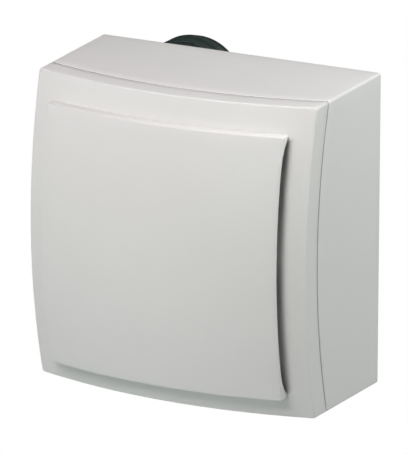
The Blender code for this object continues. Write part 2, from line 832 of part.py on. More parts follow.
# ---------------------------------------------------------------- duct spigots


def build_spigot(prefix, level, plastic, rubber):
    x, z = -spigot_x, level * spigot_z
    r_out, r_in = spigot_radius, spigot_radius - spigot_wall
    flange_front = foam_rear_y - flange_thickness
    inner_end = chamber_rear_y + gap
    r_flange = r_out + spigot_flange
    profile = [
        (r_in, inner_end), (r_out, inner_end), (r_out, flange_front), (r_flange, flange_front),
        (r_flange, foam_rear_y), (r_out, foam_rear_y), (r_out, spigot_length), (r_in, spigot_length),
    ]
    spigot = turned(prefix + "_spigot", profile, plastic, x=x, z=z)
    base, skin, tip = r_out + gap, r_out + gap + seal_skin, r_out + lip_height
    ribs = [(base, seal_start), (skin, seal_start)]
    for y in lip_places:
        ribs += [(skin, y - 2.2 * mm), (tip, y - 0.6 * mm), (tip, y + 0.4 * mm), (skin, y + 1.2 * mm)]
    ribs += [(skin, seal_end), (base, seal_end)]
    turned(prefix + "_lip_seal", ribs, rubber, x=x, z=z)
    return spigot


def build_flaps(spigot, flap_look, steel):
    """Two half-round flaps on one upright pin: they open into the duct and stop air coming back."""
    x, y, z = -spigot_x, flap_place, spigot_z
    bore = spigot_radius - spigot_wall
    radius = bore - flap_clearance

    def upright(name, z0, z1, r, look=None):
        rings = [[(x + a, y + b, z + h) for a, b in circle(r, 16)] for h in (z0, z1)]
        return loft(name, rings, look, smooth=True)

    pin_reach = spigot_radius - 0.6 * mm
    past = spigot_radius + 2 * mm
    cut(spigot, upright("spigot_pin_hole", -past, past, pin_radius + gap))
    upright("flap_pin", -pin_reach, pin_reach, pin_radius, steel)
    end, inner = radius - 8 * mm, 0.38 * radius
    spans = {"left": ((-end, -inner - gap), (inner + gap, end)), "right": ((-inner + gap, inner - gap),)}
    for name, side in (("left", -1), ("right", 1)):
        faces = (y - flap_thickness / 2, y + flap_thickness / 2)
        disc = rod(f"flap_{name}", x, z, *faces, radius, flap_look, steps=round_steps)
        wide = spigot_radius * 1.5
        edge = x + side * gap
        away = sorted((edge, edge - side * wide))
        cut(disc, box(f"flap_{name}_half", (away[0], -0.1, z - wide), (away[1], 0.1, z + wide)))
        slot = knuckle_radius + gap
        other = spans["right" if name == "left" else "left"]
        rooms = [(z0 - gap, z1 + gap) for z0, z1 in other]
        rooms += [(-radius - 1 * mm, -end - gap), (end + gap, radius + 1 * mm)]
        for k, (z0, z1) in enumerate(rooms):
            low, high = (x - slot, y - through, z + z0), (x + slot, y + through, z + z1)
            cut(disc, box(f"flap_{name}_room_{k}", low, high))
        for k, (z0, z1) in enumerate(spans[name]):
            join(disc, upright(f"flap_{name}_knuckle_{k}", z0, z1, knuckle_radius))
        cut(disc, upright(f"flap_{name}_bore", -radius, radius, pin_radius + gap))
        hang(disc, (x, y, z))


# ---------------------------------------------------------------- filters and drain


def zigzag(length, depth):
    """Outline (along, across) of a pleated sheet of even thickness."""
    count = max(2, int(length / pleat_pitch)) * 2
    step = length / count
    top, low = depth / 2 - media_skin, -depth / 2
    ridge = [(-length / 2 + i * step, low if i % 2 else top) for i in range(count + 1)]
    return ridge + [(a, b + media_skin) for a, b in reversed(ridge)]


def build_filter(prefix, half_long, half_wide, frame_look, media_look, place):
    """A cassette that lies in its local X-Z plane: a rim round a pleated sheet."""
    t = cassette_thickness / 2
    rim = box(prefix + "_filter_frame", (-half_long, -t, -half_wide), (half_long, t, half_wide), frame_look)
    in_long, in_wide = half_long - cassette_rim, half_wide - cassette_rim
    bore = box(prefix + "_filter_bore", (-in_long, -0.1, -in_wide), (in_long, 0.1, in_wide))
    cut(rim, bore)
    sheet = zigzag(2 * (in_long - gap), cassette_thickness - 2 * mm)
    ends = [[(a, b, w) for a, b in sheet] for w in (-in_wide + gap, in_wide - gap)]
    media = loft(prefix + "_filter_media", ends, media_look)
    for piece in (rim, bore, media):
        piece.matrix_world = place


def build_filters(frame_look, media_look):
    w, h = window_half()
    y = (lid_front_y + lid_rear_y) / 2
    window = Matrix.Translation((spigot_x, y, -spigot_z))
    build_filter("extract", w - gap, h - gap, frame_look, media_look, window)
    # The outdoor cassette stands beside the core's lower left face, square to the air.
    rear, front = core_span()
    middle_y = (rear + front) / 2
    half_wide = (rear - front) / 2 + end_frame - gap
    offset = core_half / math.sqrt(2) + filter_standoff + cassette_thickness / 2
    lean = Matrix.Rotation(math.radians(45), 4, "Y")
    stand = Matrix.Rotation(math.radians(90), 4, "X")
    down_left = Vector((-math.sqrt(0.5), 0, -math.sqrt(0.5))) * offset
    place = Matrix.Translation(down_left + Vector((0, middle_y, 0))) @ lean @ stand
    half_long = core_side / 2 - outdoor_filter_inset
    build_filter("outdoor", half_long, half_wide, frame_look, media_look, place)


def build_drain(look):
    x0, x1 = cross + gap, chamber_w - gap
    y0, y1 = foam_front_y, chamber_rear_y - gap
    z0, z1 = -chamber_h + gap, -chamber_h + tray_depth
    skin = tray_skin
    tray = box("drain_tray", (x0, y0, z0), (x1, y1, z1), look)
    join(tray, rod("drain_spout", spigot_x, drain_z(), y1 - skin / 2, -spout_end, drain_radius))
    cut(tray, box("drain_pan", (x0 + skin, y0 + skin, z0 + skin), (x1 - skin, y1 - skin, 0)))
    cut(tray, rod("drain_bore", spigot_x, drain_z(), y1 - 2 * skin, through, drain_radius - skin))


# ---------------------------------------------------------------- controls, cables and screws


def build_controls(case_look, board_look, part_look, terminal_look):
    w, h, skin = control_half_width, control_half_height, control_wall
    back = lid_front_y - gap
    front = back - control_depth
    tray = box("control_box", (-w, front, -h), (w, back, h), case_look)
    cut(tray, box("control_hollow", (-w + skin, -far, -h + skin), (w - skin, back - skin, h - skin)))
    middle_y = (back + front) / 2
    for side in (1, -1):
        x, z = lead_entry(side)
        ring = [(x + a, middle_y + b) for a, b in circle(cable_radius + gap, 12)]
        hole = [[(a, b, level) for a, b in ring] for level in (h - 2 * skin, h + skin)]
        cut(tray, loft(f"control_entry_{side}", hole))
    box("control_box_cover", (-w, front - gap - skin, -h), (w, front - gap, h), case_look)
    board_y = back - skin - board_standoff
    edge = skin + gap
    board_low = (-w + edge, board_y - board_thickness, -h + edge)
    box("control_board", board_low, (w - edge, board_y, h - edge), board_look)
    top = board_y - board_thickness - gap
    low, high = (-w + 8 * mm, top - supply_height, -h + 8 * mm), (-w + 32 * mm, top, h - 18 * mm)
    box("power_supply", low, high, part_look)
    rod("smoothing_capacitor", 0, -8 * mm, top, top - capacitor_height, capacitor_radius, part_look)
    build_terminals(w - 34 * mm, -h + 6 * mm, top, terminal_look)


def build_terminals(x, z, top, look):
    """A row of screw terminals, each with a well for its wire."""
    margin = terminal_pitch - terminal_well
    width = terminal_ways * terminal_pitch + margin
    depth = 2 * terminal_pitch
    blocks = box("terminal_block", (x, top - terminal_height, z), (x + width, top, z + depth), look)
    wells = []
    for i in range(terminal_ways):
        start = x + margin + terminal_pitch * i
        low = (start, -far, z + terminal_pitch / 2)
        wells.append((low, (start + terminal_well, top - 5 * mm, z + depth - terminal_pitch / 2)))
    cut(blocks, boxes("terminal_wells", wells))


def build_dividers(look):
    """Foam strips between the foam lid and the front frame keep supply and extract air apart."""
    inner, outer = control_half_width + gap, panel_half_w - louvre_inset
    for name, side in (("left", -1), ("right", 1)):
        xs = sorted((side * inner, side * outer))
        low, high = (xs[0], -far, -divider_half), (xs[1], lid_front_y - gap, divider_half)
        strip = box(f"plenum_divider_{name}", low, high, look)
        between_domes(strip, recess_depth + wall + 2 * gap, None)


def fan_lead_exit():
    """Where the exhaust fan's lead goes through the foam lid."""
    step = (housing_radius + 4 * mm) * math.sqrt(0.5)
    return -spigot_x + step - 5 * mm, spigot_z - step + 5 * mm


def lead_entry(side):
    return side * (control_half_width - 10 * mm), control_half_height


def build_lead(name, points, look):
    line = bpy.data.curves.new(name, "CURVE")
    line.dimensions = "3D"
    line.bevel_depth = cable_radius
    line.bevel_resolution = 2
    line.use_fill_caps = True
    spline = line.splines.new("POLY")
    smooth = curve_through(points, 3)
    spline.points.add(len(smooth) - 1)
    for point, place in zip(spline.points, smooth):
        point.co = (*place, 1)
    obj = bpy.data.objects.new(name, line)
    bpy.context.scene.collection.objects.link(obj)
    line.materials.append(look)
    return obj


def curve_through(points, cuts):
    """Catmull-Rom curve through the points, with the given number of steps in each stretch."""
    points = [Vector(p) for p in points]
    ends = [2 * points[0] - points[1]] + points + [2 * points[-1] - points[-2]]
    made = []
    for a, b, c, d in zip(ends, ends[1:], ends[2:], ends[3:]):
        for i in range(cuts):
            t = i / cuts
            square = 2 * a - 5 * b + 4 * c - d
            cube = 3 * b - a - 3 * c + d
            made.append(0.5 * (2 * b + (c - a) * t + square * t ** 2 + cube * t ** 3))
    return made + [points[-1]]


def build_leads(look):
    x, z = fan_lead_exit()
    entry_y = lid_front_y - gap - control_depth / 2
    over = lid_front_y - cable_radius - 2 * mm
    start_y = chamber_rear_y - gap - housing_length - gap - cable_radius
    ex, ez = lead_entry(-1)
    build_lead("exhaust_fan_lead", [
        (x + 3 * mm, start_y, z - 3 * mm),
        (x, start_y - 12 * mm, z),
        (x, start_y - lead_drop, z),
        (x, lid_rear_y, z),
        (x, over + 1 * mm, z),
        (x + 4 * mm, over - 1 * mm, z - 6 * mm),
        (ex - 4 * mm, entry_y + 3 * mm, ez + 16 * mm),
        (ex, entry_y, ez + 8 * mm),
        (ex, entry_y, ez - 1 * mm),
    ], look)
    step = (housing_radius - housing_wall / 2) * math.sqrt(0.5)
    sx, sz = spigot_x - step, spigot_z - step
    ex, ez = lead_entry(1)
    build_lead("supply_fan_lead", [
        (sx, lid_front_y - gap - cable_radius, sz),
        (sx - 4 * mm, over - 1 * mm, sz - 4 * mm),
        (ex + 3 * mm, entry_y + 2 * mm, ez + 15 * mm),
        (ex, entry_y, ez + 8 * mm),
        (ex, entry_y, ez - 1 * mm),
    ], look)


def build_screws_and_gland(steel, rubber):
    for name, sign in (("top", 1), ("bottom", -1)):
        z = sign * post_z
        seat = dome(0, post_z) + recess_depth - 4 * mm
        head, body = screw_head_radius, screw_radius
        tip = lid_front_y - gap + screw_bite
        profile = [
            (head * 0.7, seat - 2.4 * mm), (head, seat - 1.6 * mm), (head, seat), (body, seat),
            (body, tip - 2 * mm), (body * 0.3, tip),
        ]
        rings = [[(a, y, b) for a, b in circle(r, 16, 0, z)] for r, y in profile]
        loft(f"frame_screw_{name}", rings, steel, smooth=True)
    bore = gland_bore
    neck, flange = bore + 3 * mm - 2 * gap, bore + 3 * mm + 1 * mm - gland_flange
    front, seat, rear = -wall - 3 * mm, -wall - gap, -0.5 * mm
    profile = [
        (bore, front), (bore + 2 * mm, front), (flange, seat), (neck, seat), (neck, rear), (bore, rear),
    ]
    turned("cable_gland", profile, rubber, steps=small_steps, x=gland_x)


# ---------------------------------------------------------------- build


def main():
    clear_scene()
    white = material("white_plastic", (0.80, 0.80, 0.78), 0.42)
    foam = material("grey_foam", (0.16, 0.16, 0.17), 0.9)
    black = material("black_plastic", (0.03, 0.035, 0.035), 0.45)
    rubber = material("black_rubber", (0.02, 0.03, 0.028), 0.55)
    grey = material("grey_plastic", (0.35, 0.36, 0.37), 0.5)
    plates = material("exchanger_plates", (0.62, 0.68, 0.72), 0.35)
    steel = material("steel", (0.6, 0.6, 0.6), 0.3, 1.0)
    copper = material("motor_metal", (0.45, 0.36, 0.28), 0.4, 0.8)
    media = material("filter_media", (0.85, 0.86, 0.84), 0.95)
    green = material("circuit_board", (0.04, 0.22, 0.10), 0.5)
    orange = material("strap_webbing", (0.75, 0.30, 0.05), 0.8)

    build_case(white)
    build_posts(white)
    build_frame(white)
    build_seam_seal(rubber)
    build_panel(white)
    build_studs(grey)
    build_foam_shell(foam)
    build_foam_lid(foam)
    build_core(plates, grey, orange, rubber)
    fan_looks = (black, grey, copper, steel)
    build_fan("exhaust", (-spigot_x, chamber_rear_y - gap, spigot_z), 1, fan_looks)
    build_fan("supply", (spigot_x, lid_front_y, spigot_z), -1, fan_looks)
    build_damper(black, grey, steel, grey)
    exhaust = build_spigot("exhaust", 1, black, rubber)
    build_flaps(exhaust, grey, steel)
    build_spigot("outdoor", -1, black, rubber)
    build_filters(grey, media)
    build_drain(grey)
    build_controls(grey, green, black, grey)
    build_dividers(foam)
    build_leads(black)
    build_screws_and_gland(steel, rubber)


main()
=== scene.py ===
import math

import bmesh
import bpy
from mathutils import Matrix, Vector


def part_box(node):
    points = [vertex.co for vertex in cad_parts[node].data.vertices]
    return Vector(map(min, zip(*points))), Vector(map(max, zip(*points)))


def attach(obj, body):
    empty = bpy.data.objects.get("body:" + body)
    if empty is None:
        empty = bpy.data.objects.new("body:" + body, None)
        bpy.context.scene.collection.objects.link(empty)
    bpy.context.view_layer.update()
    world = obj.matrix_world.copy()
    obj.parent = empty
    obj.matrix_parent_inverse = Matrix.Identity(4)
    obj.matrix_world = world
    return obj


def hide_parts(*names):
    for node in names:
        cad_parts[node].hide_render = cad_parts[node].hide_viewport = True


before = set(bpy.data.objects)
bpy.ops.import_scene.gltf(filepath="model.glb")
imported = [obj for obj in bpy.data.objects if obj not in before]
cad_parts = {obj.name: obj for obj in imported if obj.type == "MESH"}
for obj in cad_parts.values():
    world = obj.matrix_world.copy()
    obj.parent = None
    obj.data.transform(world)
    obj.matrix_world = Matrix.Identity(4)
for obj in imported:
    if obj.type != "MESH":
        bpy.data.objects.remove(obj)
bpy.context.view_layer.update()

mm = 0.001


# sizes that the case, frame and panel share
unit = {
    "draft": 0.02,  # the case spreads this much per unit of depth, towards the wall
    "cornerDepth": 122 * mm,  # wall to the rim's corners
    "bulgeAcross": 22 * mm,
    "bulgeUpright": 20 * mm,
    "frameRim": 22 * mm,  # depth of the frame's side band
    "seamGap": 1.6 * mm,
    "wall": 3 * mm,
    "soft": 0.35 * mm,  # rounding of the edges at the seam
    "leastCorner": 0.6 * mm,
    "cornerSteps": 6,
    "sideSteps": 30,
}
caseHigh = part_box("rear_case")[1]
panelLow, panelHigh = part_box("front_panel")
spigotLow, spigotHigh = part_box("exhaust_spigot")
halfWidth = caseHigh.x - unit["draft"] * unit["cornerDepth"]
halfHeight = caseHigh.z - unit["draft"] * unit["cornerDepth"]
ductX, ductZ = (spigotLow.x + spigotHigh.x) / 2, (spigotLow.z + spigotHigh.z) / 2


def dome(x, z):
    across = unit["bulgeAcross"] * (1 - (x / halfWidth) ** 2)
    upright = unit["bulgeUpright"] * (1 - (z / halfHeight) ** 2)
    return -(unit["cornerDepth"] + across + upright)


def nodeMaker(tree):
    # one maker for geometry and shader trees alike
    def make(kind, inputs=None, **settings):
        node = tree.nodes.new(kind)
        for key, value in settings.items():
            setattr(node, key, value)
        for key, value in (inputs or {}).items():
            if isinstance(value, bpy.types.NodeSocket):
                tree.links.new(value, node.inputs[key])
            else:
                node.inputs[key].default_value = value
        return node

    def calc(operation, *values):
        return make("ShaderNodeMath", dict(enumerate(values)), operation=operation).outputs[0]

    return make, calc


def geometryTree(name, sockets):
    tree = bpy.data.node_groups.new(name, "GeometryNodeTree")
    tree.interface.new_socket(name="Geometry", in_out="INPUT", socket_type="NodeSocketGeometry")
    tree.interface.new_socket(name="Geometry", in_out="OUTPUT", socket_type="NodeSocketGeometry")
    for label, (kind, value) in sockets.items():
        socket = tree.interface.new_socket(name=label, in_out="INPUT", socket_type="NodeSocket" + kind)
        if value is not None:
            socket.default_value = value
    make, calc = nodeMaker(tree)
    return tree, make, calc, make("NodeGroupInput").outputs


def closeTree(tree, make, geometry, material):
    real = make("GeometryNodeRealizeInstances", {"Geometry": geometry}).outputs[0]
    painted = make("GeometryNodeSetMaterial", {"Geometry": real, "Material": material}).outputs[0]
    make("NodeGroupOutput", {"Geometry": painted})
    return tree


def runTree(obj, tree, values):
    # puts the tree on the object, sets its inputs by identifier and keeps the result as a plain mesh
    modifier = obj.modifiers.new(tree.name, "NODES")
    modifier.node_group = tree
    for item in tree.interface.items_tree:
        if item.in_out == "INPUT" and item.name in values:
            modifier[item.identifier] = values[item.name]
    return applied(obj)


def applied(obj):
    bpy.context.view_layer.update()
    shown = obj.evaluated_get(bpy.context.evaluated_depsgraph_get())
    mesh = bpy.data.meshes.new_from_object(shown)
    mesh.name = obj.name
    obj.modifiers.clear()
    obj.data = mesh
    return obj


def plainObject(name, made):
    mesh = bpy.data.meshes.new(name)
    made.to_mesh(mesh)
    made.free()
    obj = bpy.data.objects.new(name, mesh)
    bpy.context.scene.collection.objects.link(obj)
    return obj


def meshObject(name, made, material=None):
    bmesh.ops.remove_doubles(made, verts=made.verts, dist=0.001 * mm)
    bmesh.ops.recalc_face_normals(made, faces=made.faces)
    obj = plainObject(name, made)
    if material:
        obj.data.materials.append(material)
    return obj


def smooth(obj, angle=32):
    obj.data.shade_smooth()
    obj.data.set_sharp_from_angle(angle=math.radians(angle))
    return obj


def outline(halfX, low, high, radius):
    # rounded rectangle as (x, z) points, the same count for every size
    steps, sides = unit["cornerSteps"], unit["sideSteps"]
    corners = [(halfX - radius, high - radius), (radius - halfX, high - radius),
               (radius - halfX, low + radius), (halfX - radius, low + radius)]
    points = []
    for quarter, (cx, cz) in enumerate(corners):
        for i in range(steps + 1):
            turn = math.pi / 2 * (quarter + i / steps)
            points.append((cx + radius * math.cos(turn), cz + radius * math.sin(turn)))
        nx, nz = corners[(quarter + 1) % 4]
        turn = math.pi / 2 * (quarter + 1)
        start = (cx + radius * math.cos(turn), cz + radius * math.sin(turn))
        end = (nx + radius * math.cos(turn), nz + radius * math.sin(turn))
        for i in range(1, sides):
            share = i / sides
            points.append((start[0] + (end[0] - start[0]) * share, start[1] + (end[1] - start[1]) * share))
    return points


def rimRing(corner, inset, topInset=None):
    # outline this far inside the rim, where the top may have an inset of its own
    top = halfHeight - (inset if topInset is None else topInset)
    return outline(halfWidth - inset, inset - halfHeight, top, max(corner - inset, unit["leastCorner"]))


def scaled(points, share, centre):
    return [(x * share, centre + (z - centre) * share) for x, z in points]


def between(a, b, share):
    return [(p[0] + (q[0] - p[0]) * share, p[1] + (q[1] - p[1]) * share) for p, q in zip(a, b)]


class Shell:
    # closed skin through loops of equal length. Depths are flat, and the dome is added by bend
    def __init__(self):
        self.loops = []

    def loop(self, points, depth, bend=1.0, flare=0.0):
        depths = depth if isinstance(depth, list) else [depth] * len(points)
        self.loops.append([(x, y, z, bend, flare) for (x, z), y in zip(points, depths)])

    def build(self, name):
        made = bmesh.new()
        bendLayer = made.verts.layers.float.new("bend")
        flareLayer = made.verts.layers.float.new("flare")

        def vert(x, y, z, bend, flare):
            v = made.verts.new((x, y, z))
            v[bendLayer], v[flareLayer] = bend, flare
            return v

        rings = [[vert(*p) for p in loop] for loop in self.loops]
        for ring, after in zip(rings, rings[1:]):
            for i in range(len(ring)):
                j = (i + 1) % len(ring)
                made.faces.new((ring[i], ring[j], after[j], after[i]))
        for ring, loop in ((rings[0], self.loops[0]), (rings[-1], self.loops[-1])):
            count = len(loop)
            middle = [sum(p[k] for p in loop) / count for k in range(5)]
            pole = vert(*middle)
            for i in range(count):
                made.faces.new((ring[i], ring[(i + 1) % count], pole))
        return meshObject(name, made)


def domeTree():
    # the dome that every flat shell is bent to
    tree, make, calc, given = geometryTree("domeBend", {
        "Half Width": ("Float", 0.14), "Half Height": ("Float", 0.144), "Corner Depth": ("Float", 0.12),
        "Bulge Across": ("Float", 0.02), "Bulge Upright": ("Float", 0.02), "Draft": ("Float", 0.02),
        "Material": ("Material", None),
    })
    place = make("ShaderNodeSeparateXYZ", {0: make("GeometryNodeInputPosition").outputs[0]}).outputs
    bend = make("GeometryNodeInputNamedAttribute", {"Name": "bend"}, data_type="FLOAT").outputs[0]
    flare = make("GeometryNodeInputNamedAttribute", {"Name": "flare"}, data_type="FLOAT").outputs[0]

    def rise(along, half, bulge):
        share = calc("DIVIDE", along, half)
        return calc("MULTIPLY", calc("SUBTRACT", 1.0, calc("MULTIPLY", share, share)), bulge)

    across = rise(place["X"], given["Half Width"], given["Bulge Across"])
    upright = rise(place["Z"], given["Half Height"], given["Bulge Upright"])
    depth = calc("ADD", given["Corner Depth"], calc("ADD", across, upright))
    y = calc("SUBTRACT", place["Y"], calc("MULTIPLY", depth, bend))
    spread = calc("MULTIPLY", calc("MULTIPLY", calc("ADD", y, given["Corner Depth"]), given["Draft"]), flare)
    x = calc("MULTIPLY", place["X"], calc("ADD", 1.0, calc("DIVIDE", spread, given["Half Width"])))
    z = calc("MULTIPLY", place["Z"], calc("ADD", 1.0, calc("DIVIDE", spread, given["Half Height"])))
    moved = make("ShaderNodeCombineXYZ", {"X": x, "Y": y, "Z": z}).outputs[0]
    bent = make("GeometryNodeSetPosition", {"Geometry": given["Geometry"], "Position": moved}).outputs[0]
    return closeTree(tree, make, bent, given["Material"])


def bendShell(obj, material):
    return runTree(obj, domeBend, {
        "Half Width": halfWidth, "Half Height": halfHeight, "Corner Depth": unit["cornerDepth"],
        "Bulge Across": unit["bulgeAcross"], "Bulge Upright": unit["bulgeUpright"], "Draft": unit["draft"],
        "Material": material,
    })


def cutWith(obj, *cutters):
    for cutter in cutters:
        step = obj.modifiers.new("cut", "BOOLEAN")
        step.operation = "DIFFERENCE"
        step.solver = "EXACT"
        step.object = cutter
    applied(obj)
    for cutter in cutters:
        bpy.data.objects.remove(cutter)
    return obj


def rodCutter(x, z, y0, y1, radius, steps=48):
    made = bmesh.new()
    turn = Matrix.Translation((x, (y0 + y1) / 2, z)) @ Matrix.Rotation(math.pi / 2, 4, "X")
    bmesh.ops.create_cone(made, cap_ends=True, segments=steps, radius1=radius, radius2=radius,
                          depth=abs(y1 - y0), matrix=turn)
    return meshObject("cutter", made)


def boxCutter(low, high):
    made = bmesh.new()
    size = Vector(high) - Vector(low)
    place = Matrix.Translation((Vector(high) + Vector(low)) / 2) @ Matrix.Diagonal((*size, 1))
    bmesh.ops.create_cube(made, size=1, matrix=place)
    return meshObject("cutter", made)


def shaderGroup(name, inputs, outputs):
    # a finish effect that several materials share
    tree = bpy.data.node_groups.new(name, "ShaderNodeTree")
    for label, (kind, value) in inputs.items():
        socket = tree.interface.new_socket(name=label, in_out="INPUT", socket_type="NodeSocket" + kind)
        socket.default_value = value
    for label, kind in outputs.items():
        tree.interface.new_socket(name=label, in_out="OUTPUT", socket_type="NodeSocket" + kind)
    make, calc = nodeMaker(tree)
    return tree, make, calc, make("NodeGroupInput").outputs, objectPlace(make)


def colourMix(make, share, first, second):
    node = make("ShaderNodeMix", {"Factor": share, "A": first, "B": second}, data_type="RGBA")
    return node.outputs["Result"]


def grainGroup():
    # moulded grain: a fine pebble with a slower wave under it, as a height and a roughness mask
    tree, make, calc, given, place = shaderGroup(
        "mouldedGrain", {"Pitch": ("Float", 0.5), "Depth": ("Float", 0.5)},
        {"Height": "Float", "Mask": "Float"})
    scale = calc("DIVIDE", 1000.0, given["Pitch"])
    fine = make("ShaderNodeTexNoise", {"Vector": place, "Scale": scale, "Detail": 2.0}).outputs["Fac"]
    slow = make("ShaderNodeTexNoise", {"Vector": place, "Scale": 24.0, "Detail": 3.0}).outputs["Fac"]
    height = calc("MULTIPLY", calc("ADD", fine, calc("MULTIPLY", slow, 0.4)), given["Depth"])
    mask = calc("ADD", calc("MULTIPLY", fine, 0.35), calc("MULTIPLY", slow, 0.65))
    make("NodeGroupOutput", {"Height": height, "Mask": mask})
    return tree


def mottleGroup():
    # slow drift between two nearby colours, with faint flow lines from the mould
    tree, make, calc, given, place = shaderGroup(
        "mouldedMottle", {"Light": ("Color", (1, 1, 1, 1)), "Dark": ("Color", (0, 0, 0, 1)),
                          "Patch": ("Float", 60.0)}, {"Color": "Color"})
    size = calc("DIVIDE", 1000.0, given["Patch"])
    tiny = calc("MULTIPLY", size, 14.0)
    cloud = make("ShaderNodeTexNoise", {"Vector": place, "Scale": size, "Detail": 4.0, "Roughness": 0.55})
    speck = make("ShaderNodeTexNoise", {"Vector": place, "Scale": tiny, "Detail": 1.0})
    cloud, speck = cloud.outputs["Fac"], speck.outputs["Fac"]
    share = calc("ADD", calc("MULTIPLY", cloud, 0.8), calc("MULTIPLY", speck, 0.2))
    make("NodeGroupOutput", {"Color": colourMix(make, share, given["Light"], given["Dark"])})
    return tree


def beadGroup():
    # fused foam beads: cells with dark joints
    tree, make, calc, given, place = shaderGroup(
        "foamBeads", {"Bead": ("Float", 3.0)}, {"Joint": "Float", "Tint": "Float", "Height": "Float"})
    scale = calc("DIVIDE", 1000.0, given["Bead"])
    edge = make("ShaderNodeTexVoronoi", {"Vector": place, "Scale": scale}, feature="DISTANCE_TO_EDGE")
    joint = make("ShaderNodeMapRange", {
        "Value": edge.outputs["Distance"], "From Min": 0.0, "From Max": 0.12}).outputs["Result"]
    tint = make("ShaderNodeTexVoronoi", {"Vector": place, "Scale": scale}).outputs["Color"]
    grey = make("ShaderNodeRGBToBW", {"Color": tint}).outputs[0]
    make("NodeGroupOutput", {"Joint": joint, "Tint": grey, "Height": joint})
    return tree


def newMaterial(name):
    material = bpy.data.materials.new(name)
    material.use_nodes = True
    return (material, *nodeMaker(material.node_tree))


def objectPlace(make):
    return make("ShaderNodeTexCoord").outputs["Object"]


def wire(material, colour, height, bump, rough, metallic=0.0):
    # colour, relief and roughness into the shader: bump is (strength, depth), rough a socket or one number
    tree = material.node_tree
    shader = tree.nodes["Principled BSDF"]
    make, _ = nodeMaker(tree)
    relief = make("ShaderNodeBump", {"Height": height, "Strength": bump[0], "Distance": bump[1]})
    tree.links.new(colour, shader.inputs["Base Color"])
    tree.links.new(relief.outputs["Normal"], shader.inputs["Normal"])
    if isinstance(rough, float):
        shader.inputs["Roughness"].default_value = rough
    else:
        tree.links.new(rough, shader.inputs["Roughness"])
    shader.inputs["Metallic"].default_value = metallic
    return material


# moulded finishes: two close colours, grain pitch in mm, roughness range, relief, and colour patches in mm
mouldedLooks = {
    "satinWhite": {"colours": ((0.83, 0.83, 0.815), (0.80, 0.80, 0.785)), "grain": 0.45,
                   "rough": (0.34, 0.44), "bump": 0.05, "patch": 60.0},
    "ductBlack": {"colours": ((0.030, 0.046, 0.042), (0.020, 0.034, 0.031)), "grain": 0.5,
                  "rough": (0.30, 0.42), "bump": 0.08, "patch": 60.0},
    "sealRubber": {"colours": ((0.026, 0.042, 0.038), (0.014, 0.025, 0.022)), "grain": 0.35,
                   "rough": (0.42, 0.58), "bump": 0.12, "patch": 60.0},
    "seamRubber": {"colours": ((0.20, 0.21, 0.21), (0.13, 0.14, 0.14)), "grain": 0.35,
                   "rough": (0.6, 0.75), "bump": 0.1, "patch": 60.0},
    "mouldedBlack": {"colours": ((0.045, 0.047, 0.05), (0.028, 0.03, 0.032)), "grain": 0.5,
                     "rough": (0.38, 0.5), "bump": 0.1, "patch": 60.0},
    "mouldedGrey": {"colours": ((0.40, 0.41, 0.42), (0.33, 0.34, 0.35)), "grain": 0.5,
                    "rough": (0.4, 0.5), "bump": 0.1, "patch": 60.0},
    "sealFoam": {"colours": ((0.07, 0.07, 0.072), (0.03, 0.03, 0.032)), "grain": 0.9,
                 "rough": (0.8, 0.95), "bump": 0.5, "patch": 12.0},
}


def mouldedFinish(name):
    look = mouldedLooks[name]
    light, dark = look["colours"]
    material, make, _ = newMaterial(name)
    pebble = make("ShaderNodeGroup", node_tree=groups["grain"])
    pebble.inputs["Pitch"].default_value = look["grain"]
    pebble.inputs["Depth"].default_value = 1.0
    drift = make("ShaderNodeGroup", node_tree=groups["mottle"])
    drift.inputs["Light"].default_value = (*light, 1)
    drift.inputs["Dark"].default_value = (*dark, 1)
    drift.inputs["Patch"].default_value = look["patch"]
    low, high = look["rough"]
    roughness = make("ShaderNodeMapRange", {
        "Value": pebble.outputs["Mask"], "From Min": 0.3, "From Max": 0.7, "To Min": low, "To Max": high})
    return wire(material, drift.outputs["Color"], pebble.outputs["Height"], (look["bump"], 0.2 * mm),
                roughness.outputs["Result"])


foamLook = {
    "bead": 3.2,  # mm across
    "joint": (0.03, 0.03, 0.032, 1),
    "dark": (0.075, 0.078, 0.082, 1),
    "light": (0.17, 0.175, 0.18, 1),
    "bump": (0.6, 0.6 * mm),
    "rough": 0.85,
}


def foamFinish():
    look = foamLook
    material, make, _ = newMaterial("foamBeadsGrey")
    beads = make("ShaderNodeGroup", node_tree=groups["beads"])
    beads.inputs["Bead"].default_value = look["bead"]
    shade = make("ShaderNodeMapRange", {"Value": beads.outputs["Tint"], "To Min": 0.0, "To Max": 0.45})
    body = colourMix(make, shade.outputs["Result"], look["dark"], look["light"])
    joined = colourMix(make, beads.outputs["Joint"], look["joint"], body)
    return wire(material, joined, beads.outputs["Height"], look["bump"], look["rough"])


# drawn and turned metal: noise pulled long in one direction
metalLooks = {
    "brushedSteel": {"dark": (0.52, 0.52, 0.53, 1), "light": (0.72, 0.72, 0.73, 1), "rough": (0.22, 0.38),
                     "metallic": 1.0, "stretch": (2200.0, 160.0, 2200.0), "bump": 0.05},
    "windingCopper": {"dark": (0.30, 0.13, 0.05, 1), "light": (0.72, 0.36, 0.16, 1), "rough": (0.3, 0.5),
                      "metallic": 0.85, "stretch": (1500.0, 90.0, 1500.0), "bump": 0.4},
}


def metalFinish(name):
    look = metalLooks[name]
    material, make, _ = newMaterial(name)
    pulled = make("ShaderNodeMapping", {"Vector": objectPlace(make), "Scale": look["stretch"]}).outputs[0]
    lines = make("ShaderNodeTexNoise", {"Vector": pulled, "Scale": 1.0, "Detail": 3.0}).outputs["Fac"]
    low, high = look["rough"]
    roughness = make("ShaderNodeMapRange", {"Value": lines, "To Min": low, "To Max": high})
    colour = colourMix(make, lines, look["dark"], look["light"])
    return wire(material, colour, lines, (look["bump"], 0.2 * mm), roughness.outputs["Result"],
                look["metallic"])


